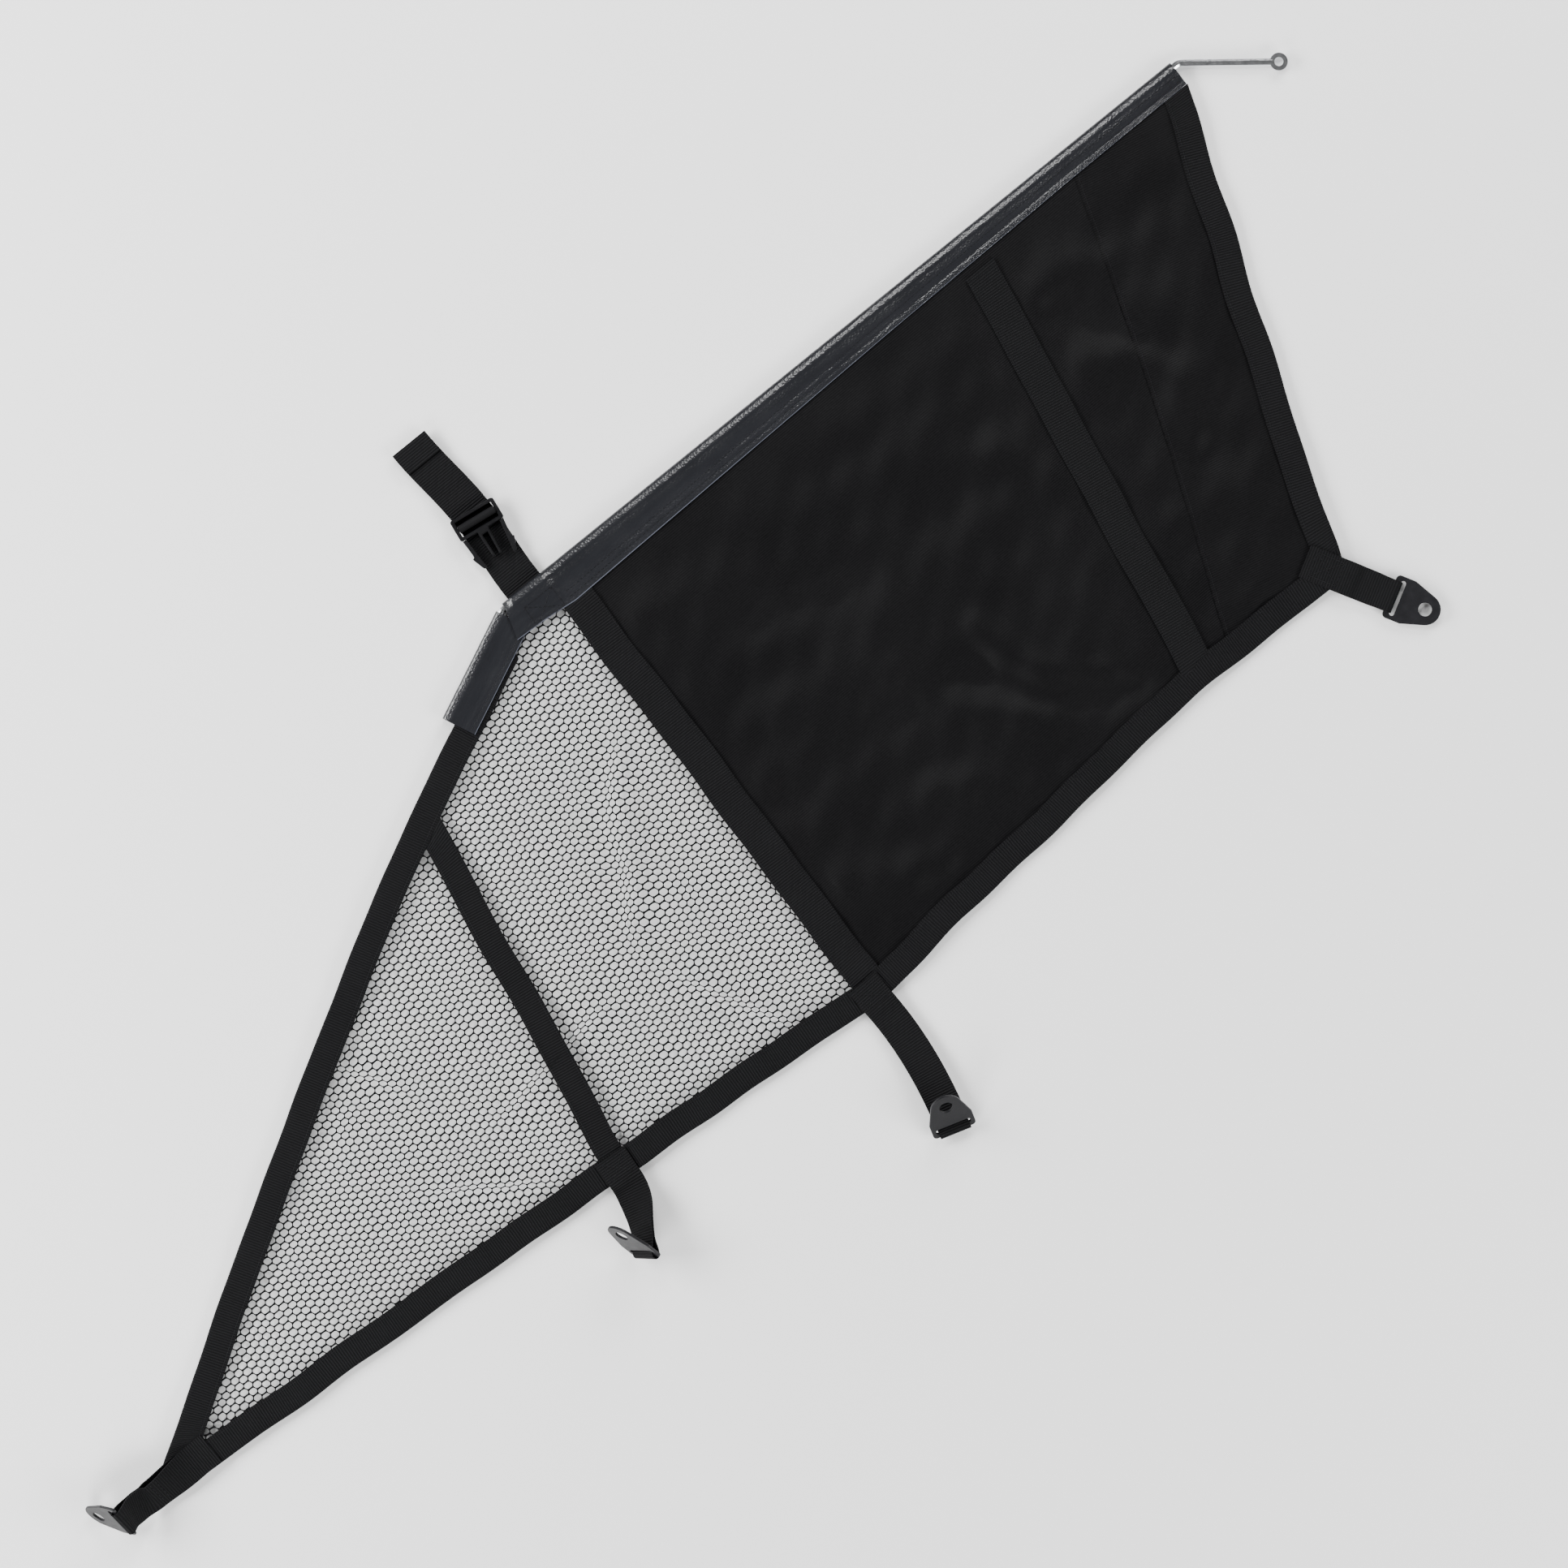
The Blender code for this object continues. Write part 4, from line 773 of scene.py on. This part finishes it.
def tab_strap(name, root, root_heading, bar_at, bar_heading, bar_tilt, end_turn, roll, sewn, nodes,
              seed, settle=None):
    """A doubled tab: sewn length, a smooth run out to the bar, the loop, and the lower layer back."""
    bar, onward = unit(bar_heading + pi / 2, bar_tilt), unit(bar_heading)
    upward = np.cross(onward, bar)
    end_way = onward * cos(end_turn) + upward * sin(end_turn)
    start_way, start_bar = unit(root_heading), unit(root_heading + pi / 2, roll)
    reach = np.linalg.norm(bar_at - root)
    frames = []
    for t in np.linspace(0, 1, 26):
        spot = root * (2 * t**3 - 3 * t**2 + 1) + start_way * reach * (t**3 - 2 * t**2 + t)
        spot = spot + bar_at * (3 * t**2 - 2 * t**3) + end_way * reach * (t**3 - t**2)
        way = root * (6 * t**2 - 6 * t) + start_way * reach * (3 * t**2 - 4 * t + 1)
        way = way + bar_at * (6 * t - 6 * t**2) + end_way * reach * (3 * t**2 - 2 * t)
        way /= np.linalg.norm(way)
        turned = min(1, t / 0.75)
        across = start_bar + (bar - start_bar) * turned * turned * (3 - 2 * turned)
        across -= way * (across @ way)
        across /= np.linalg.norm(across)
        frames.append((spot, way, across, np.cross(way, across)))
    from_bar = [min(1, np.linalg.norm(bar_at - f[0]) / (12 * mm)) for f in frames]
    apart = [layer + (loop_radius - layer) * (1 + cos(pi * share)) / 2 for share in from_bar]
    spine = []
    flat_way = unit(root_heading)
    for s in np.linspace(sewn, 0, int(sewn / (2.5 * mm)) + 1)[:-1]:
        turn = roll
        spot = root - flat_way * (s + 1.6 * mm)
        if settle:
            share = min(1.0, s / settle)
            share = share * share * (3 - 2 * share)
            turn = roll * (1 - share)
            spot[2] = root[2] + (lying_height - root[2]) * share
        across = unit(root_heading + pi / 2, turn)
        normal = np.cross(flat_way, across)
        spine.append((spot + normal * (2.75 * mm), across))
    sewn_spine = spine[:]
    for (spot, way, across, normal), h in zip(frames, apart):
        gone = np.linalg.norm(spot - root)
        ease = max(0.0, 1 - gone / (9 * mm))
        spine.append((spot + normal * (h + 2.0 * mm * ease * ease * (3 - 2 * ease)), across))
    spot, way, across, normal = frames[-1]
    for i in range(1, 12):
        turn = pi / 2 - pi * i / 12
        spine.append((spot + (way * cos(turn) + normal * sin(turn)) * loop_radius, across))
    for (spot, way, across, normal), h in reversed(list(zip(frames, apart))):
        ease = max(0.0, 1 - np.linalg.norm(spot - root) / (9 * mm))
        spine.append((spot - normal * (h + 2.0 * mm * ease * ease * (3 - 2 * ease)), across))
    for over, across in reversed(sewn_spine):
        normal = np.cross(flat_way, across)
        spine.append((over - normal * 5.5 * mm, across))
    middle, across = np.array([s[0] for s in spine]), np.array([s[1] for s in spine])
    u = run_along(middle)
    half_tab, narrowing = 12.5, 0.06
    v = np.linspace(-half_tab, half_tab, 9) * mm
    near_bar = np.clip(1 - np.linalg.norm(middle - bar_at, axis=1) / (16 * mm), 0, 1)
    points = middle[:, None] + across[:, None] * (v[None, :] * (1 - narrowing * near_bar)[:, None])[..., None]
    first = len(middle) // 2
    loose = np.clip((u[first] - u[:first]) / 0.02 - 1.2, 0, 1)
    points[:first, :, 2] += (ripple(u[:first], seed, 0.35) * loose)[:, None]
    if not settle:
        sewn_rows = u < sewn
        points[sewn_rows, :, 2] += lie(points[sewn_rows, :, 0], points[sewn_rows, :, 1])
    points[..., 2] = np.maximum(points[..., 2], 0.7 * mm)
    strap = grid_piece(name, points, u, v, webbing, 0.95 * mm)
    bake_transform(strap)
    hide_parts(*nodes)
    return strap


def point(x, y, z):
    return np.array((x, y, z)) * mm


front_heading, middle_heading, rear_heading = -1.64634, -1.53602, radians(-61)
tip_tab = tab_strap("tip_tab", point(-625.585, -155.027, 12.131), pi, point(-651.585, -156.027, 27.631),
                    radians(178), radians(-38), radians(30), radians(-38), 52 * mm,
                    ["tip_tab_strap"], 61, settle=46 * mm)
front_tab = tab_strap("front_tab", point(-214.659, -193.215, 4.131), front_heading,
                      point(-236.659, -244.215, 15.131), radians(-125.4), radians(52.5), radians(-8.5), 0,
                      19 * mm,
                      ["front_tab_strap"], 62)
middle_tab = tab_strap("middle_tab", point(9.122, -211.834, 4.131), middle_heading,
                       point(-5.878, -314.834, 6.131), radians(-107), 0, 0, 0, 20 * mm,
                       ["middle_tab_strap"], 63)
rear_tab = tab_strap("rear_tab", point(468.983, -185.439, 4.131), rear_heading,
                     point(484.982, -214.302, 4.131), rear_heading, 0, 0, 0, 34 * mm,
                     ["rear_tab_strap", "rear_corner_patch"], 64)


# ---- Buckle strap -------------------------------------------------------------------------------
# Wider webbing that comes out of the sleeve at the rod and runs through the buckle. Its end is turned
# back over itself and sewn, and it dips a little where nothing holds it.


def band_x(y):
    """The strap's middle, which bows a little sideways between the rod and its end."""
    turn, bow = 2 * pi * (y - bend[1] - 4.35 * mm) / (133 * mm), 4 * mm
    return 23.0 * mm + bend[0] + bow * (1 - np.cos(turn)) / 2


run_out = np.arange(bend[1] + 4.0 * mm, bend[1] + 137.35 * mm, 2.4 * mm)
tail = run_out[-1]
spine = [(band_x(y), y, lying_height) for y in run_out]
for a in np.linspace(-pi / 2, pi / 2, 7)[1:-1]:
    spine.append((band_x(tail), tail + 0.75 * mm * cos(a), lying_height + 0.75 * mm + 0.75 * mm * sin(a)))
spine += [(band_x(y), y, lying_height + 1.5 * mm) for y in np.arange(tail, tail - 18 * mm, -2.4 * mm)]
spine = np.array(spine)
u = run_along(spine)
v = np.linspace(-15, 15, 9) * mm
points = spine[:, None] + np.array((1.0, 0, 0))[None, None] * v[None, :, None]
off_track = np.clip((bend[1] + 0.125 - spine[:, 1]) / 0.01, 0, 1)
points[..., 2] -= (np.abs(ripple(spine[:, 1], 71, 0.5)) * off_track)[:, None]
buckle_webbing = grid_piece("buckle_webbing", points, u, v, webbing, 1.1 * mm)
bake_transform(buckle_webbing)
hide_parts("buckle_strap", "buckle_strap_hem")


# ---- Stitching ----------------------------------------------------------------------------------
# Bonded black thread in lock stitch: two rows along each sleeve's flap, one or two along each strap, and
# boxed crosses where the tabs and the buckle strap pull.

thread = Look("thread_black", roughness=0.5, specular_IOR_level=0.2)
twist = thread.noise(thread.add("TexCoord", output="Object"), 1800, 2)
thread.feed(base_color=thread.blend(twist, (0.002, 0.002, 0.0025), (0.013, 0.013, 0.015)),
            roughness=twist * 0.2 + 0.4)


def stitches(name, pieces, rows, steepest=1.5 * mm, pitch=3.3 * mm):
    """Stitches along plan lines, each a low bar on the uppermost piece, left out on steep drops."""
    vertices, faces = [], []
    bar_faces = ((0, 1, 3, 2), (1, 0, 4), (2, 3, 5), (0, 2, 5, 4), (3, 1, 4, 5))
    for row in rows:
        row = even(np.array(row, float), pitch)
        for a, b in zip(row, row[1:]):
            way = (b - a) / np.linalg.norm(b - a)
            side = np.array((-way[1], way[0])) * 0.28 * mm
            ends = []
            for p in (a + way * 0.35 * mm, b - way * 0.35 * mm):
                hits = [piece.ray_cast(Vector((*p, 0.08)), Vector((0, 0, -1))) for piece in pieces]
                ends.append((p, max([hit[1].z for hit in hits if hit[0]], default=None)))
            if ends[0][1] is None or ends[1][1] is None or abs(ends[0][1] - ends[1][1]) > steepest:
                continue
            base = len(vertices)
            for p, z in ends:
                vertices += [(*(p + side), z - 0.15 * mm), (*(p - side), z - 0.15 * mm)]
            for (p, z), inwards in zip(ends, (way, -way)):
                vertices.append((*(p + inwards * 0.4 * mm), z + 0.28 * mm))
            faces += [[base + i for i in f] for f in bar_faces]
    mesh = bpy.data.meshes.new(name)
    mesh.from_pydata([tuple(float(c) for c in v) for v in vertices], [], faces)
    made = bpy.data.objects.new(name, mesh)
    bpy.context.scene.collection.objects.link(made)
    made.data.materials.append(thread.material)
    bpy.context.view_layer.objects.active = made
    made.select_set(True)
    bpy.ops.object.mode_set(mode="EDIT")
    bpy.ops.mesh.select_all(action="SELECT")
    bpy.ops.mesh.normals_make_consistent(inside=False)
    bpy.ops.object.mode_set(mode="OBJECT")
    made.select_set(False)
    return made


def boxed_cross(middle, heading, length, width):
    """A box with both its diagonals, as plan lines."""
    way = np.array((cos(heading), sin(heading)))
    side = np.array((-way[1], way[0]))
    signs = ((-1, -1), (1, -1), (1, 1), (-1, 1))
    a, b, c, d = [np.array(middle) + way * i * length / 2 + side * j * width / 2 for i, j in signs]
    return [[a, b], [b, c], [c, d], [d, a], [a, c], [b, d]]


foot_x = np.linspace(0.020, 0.600, 120)
foot_y = np.interp(foot_x, sleeve_foot[:, 0], sleeve_foot[:, 1])
sleeve_rows = [np.stack([foot_x, foot_y + at], 1) for at in flap_rows]
sleeve_rows += boxed_cross((0.0015, 0.1675), 0.0, 25 * mm, 17 * mm)
sleeve_rows += boxed_cross((0.596, 0.1755), 0.0, 7 * mm, 6 * mm)[:4]
leg_side = np.array((-leg_way[1], leg_way[0]))
sleeve_rows.append([bend + leg_way * at + leg_side * 19 * mm for at in (14 * mm, 88 * mm)])
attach(stitches("sleeve_stitches", [long_vinyl, short_vinyl], sleeve_rows), "net")
strap_rows = []
sewn_lines = [(((-165.5, 87.5), (-211.0, -170.0)), 8.3), (((24.2, 154.0), (12.8, -187.0)), 10.7),
              (((401.0, 156.5), (342.8, -159.0)), 10.7)]
for ends, half in sewn_lines:
    line = even(np.array(ends) * mm, 3 * mm)
    strap_rows += [offset(line, half * mm), offset(line, -half * mm)]
strap_rows.append([(0.3905, 0.155), (0.4115, 0.1555)])
strap_rows.append(offset(rear_line, 17.8 * mm)[8:-3])
strap_rows.append(offset(seam_line, 3.6 * mm))
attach(stitches("strap_stitches", [front_strap, middle_strap, rear_strap, rear_binding, rear_cloth],
                 strap_rows), "net")
edge_rows = [offset(front_line, 17.8 * mm)[3:-12], offset(bottom_edge, 17.8 * mm)[16:-9]]
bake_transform(stitches("edge_stitches", [front_binding, bottom_binding], edge_rows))
tab_rows = boxed_cross((-0.2138, -0.1823), front_heading, 15 * mm, 17 * mm)
tab_rows += boxed_cross((0.0088, -0.2009), middle_heading, 16 * mm, 18 * mm)
tab_rows += boxed_cross((0.4600, -0.1691), rear_heading, 21 * mm, 18 * mm)
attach(stitches("tab_stitches", [front_tab, middle_tab, rear_tab], tab_rows), "net")
tip_rows = [[(-0.6215, -0.1635), (-0.6215, -0.1475)], [(-0.6165, -0.1635), (-0.6165, -0.1475)]]
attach(stitches("tip_stitches", [tip_tab], tip_rows, 3 * mm), "front_point")


# ---- Plates, rod and buckle ---------------------------------------------------------------------
# Stamped steel plates with black powder coat, a bright drawn rod, and a moulded side release buckle.
# All keep their shapes and get their finishes, and so does the strap's turn round the rod.

coat = Look("plate_black", roughness=0.42, specular_IOR_level=0.22)
orange_peel = coat.noise(coat.add("TexCoord", output="Object"), 1400, 2)
handled = coat.noise(coat.add("TexCoord", output="Object"), 140, 5, 0.65)
coat.feed(base_color=coat.blend(handled, (0.004, 0.004, 0.005), (0.014, 0.014, 0.016)),
          roughness=handled * 0.25 + 0.3)
coat.bump(orange_peel, 0.06 * mm)
steel = Look("rod_steel", metallic=1.0, base_color=(0.8, 0.81, 0.83), roughness=0.2)
drawn = steel.noise(steel.add("TexCoord", output="Object"), 500, 4)
steel.feed(roughness=drawn * 0.2 + 0.12,
           base_color=steel.blend(drawn, (0.68, 0.69, 0.72), (0.86, 0.87, 0.88)))
steel.bump(drawn, 0.03 * mm)
moulded = Look("buckle_black", roughness=0.3, specular_IOR_level=0.25)
sparked = moulded.noise(moulded.add("TexCoord", output="Object"), 2200, 2)
rubbed = moulded.noise(moulded.add("TexCoord", output="Object"), 160, 4)
moulded.feed(base_color=moulded.blend(rubbed, (0.003, 0.003, 0.0035), (0.008, 0.008, 0.009)),
             roughness=rubbed * 0.2 + 0.22)
moulded.bump(sparked, 0.05 * mm)


def dress(nodes, look):
    for name in nodes:
        node = frame["nodes"][name]
        node.data.materials.clear()
        node.data.materials.append(look.material)


dress([f"{n}_anchor_plate" for n in ("tip", "front", "middle", "rear")], coat)
dress(["frame_rod"], steel)
dress(["buckle_body", "latch_arm_front", "latch_arm_rear"], moulded)
dress(["buckle_strap_turn"], webbing)
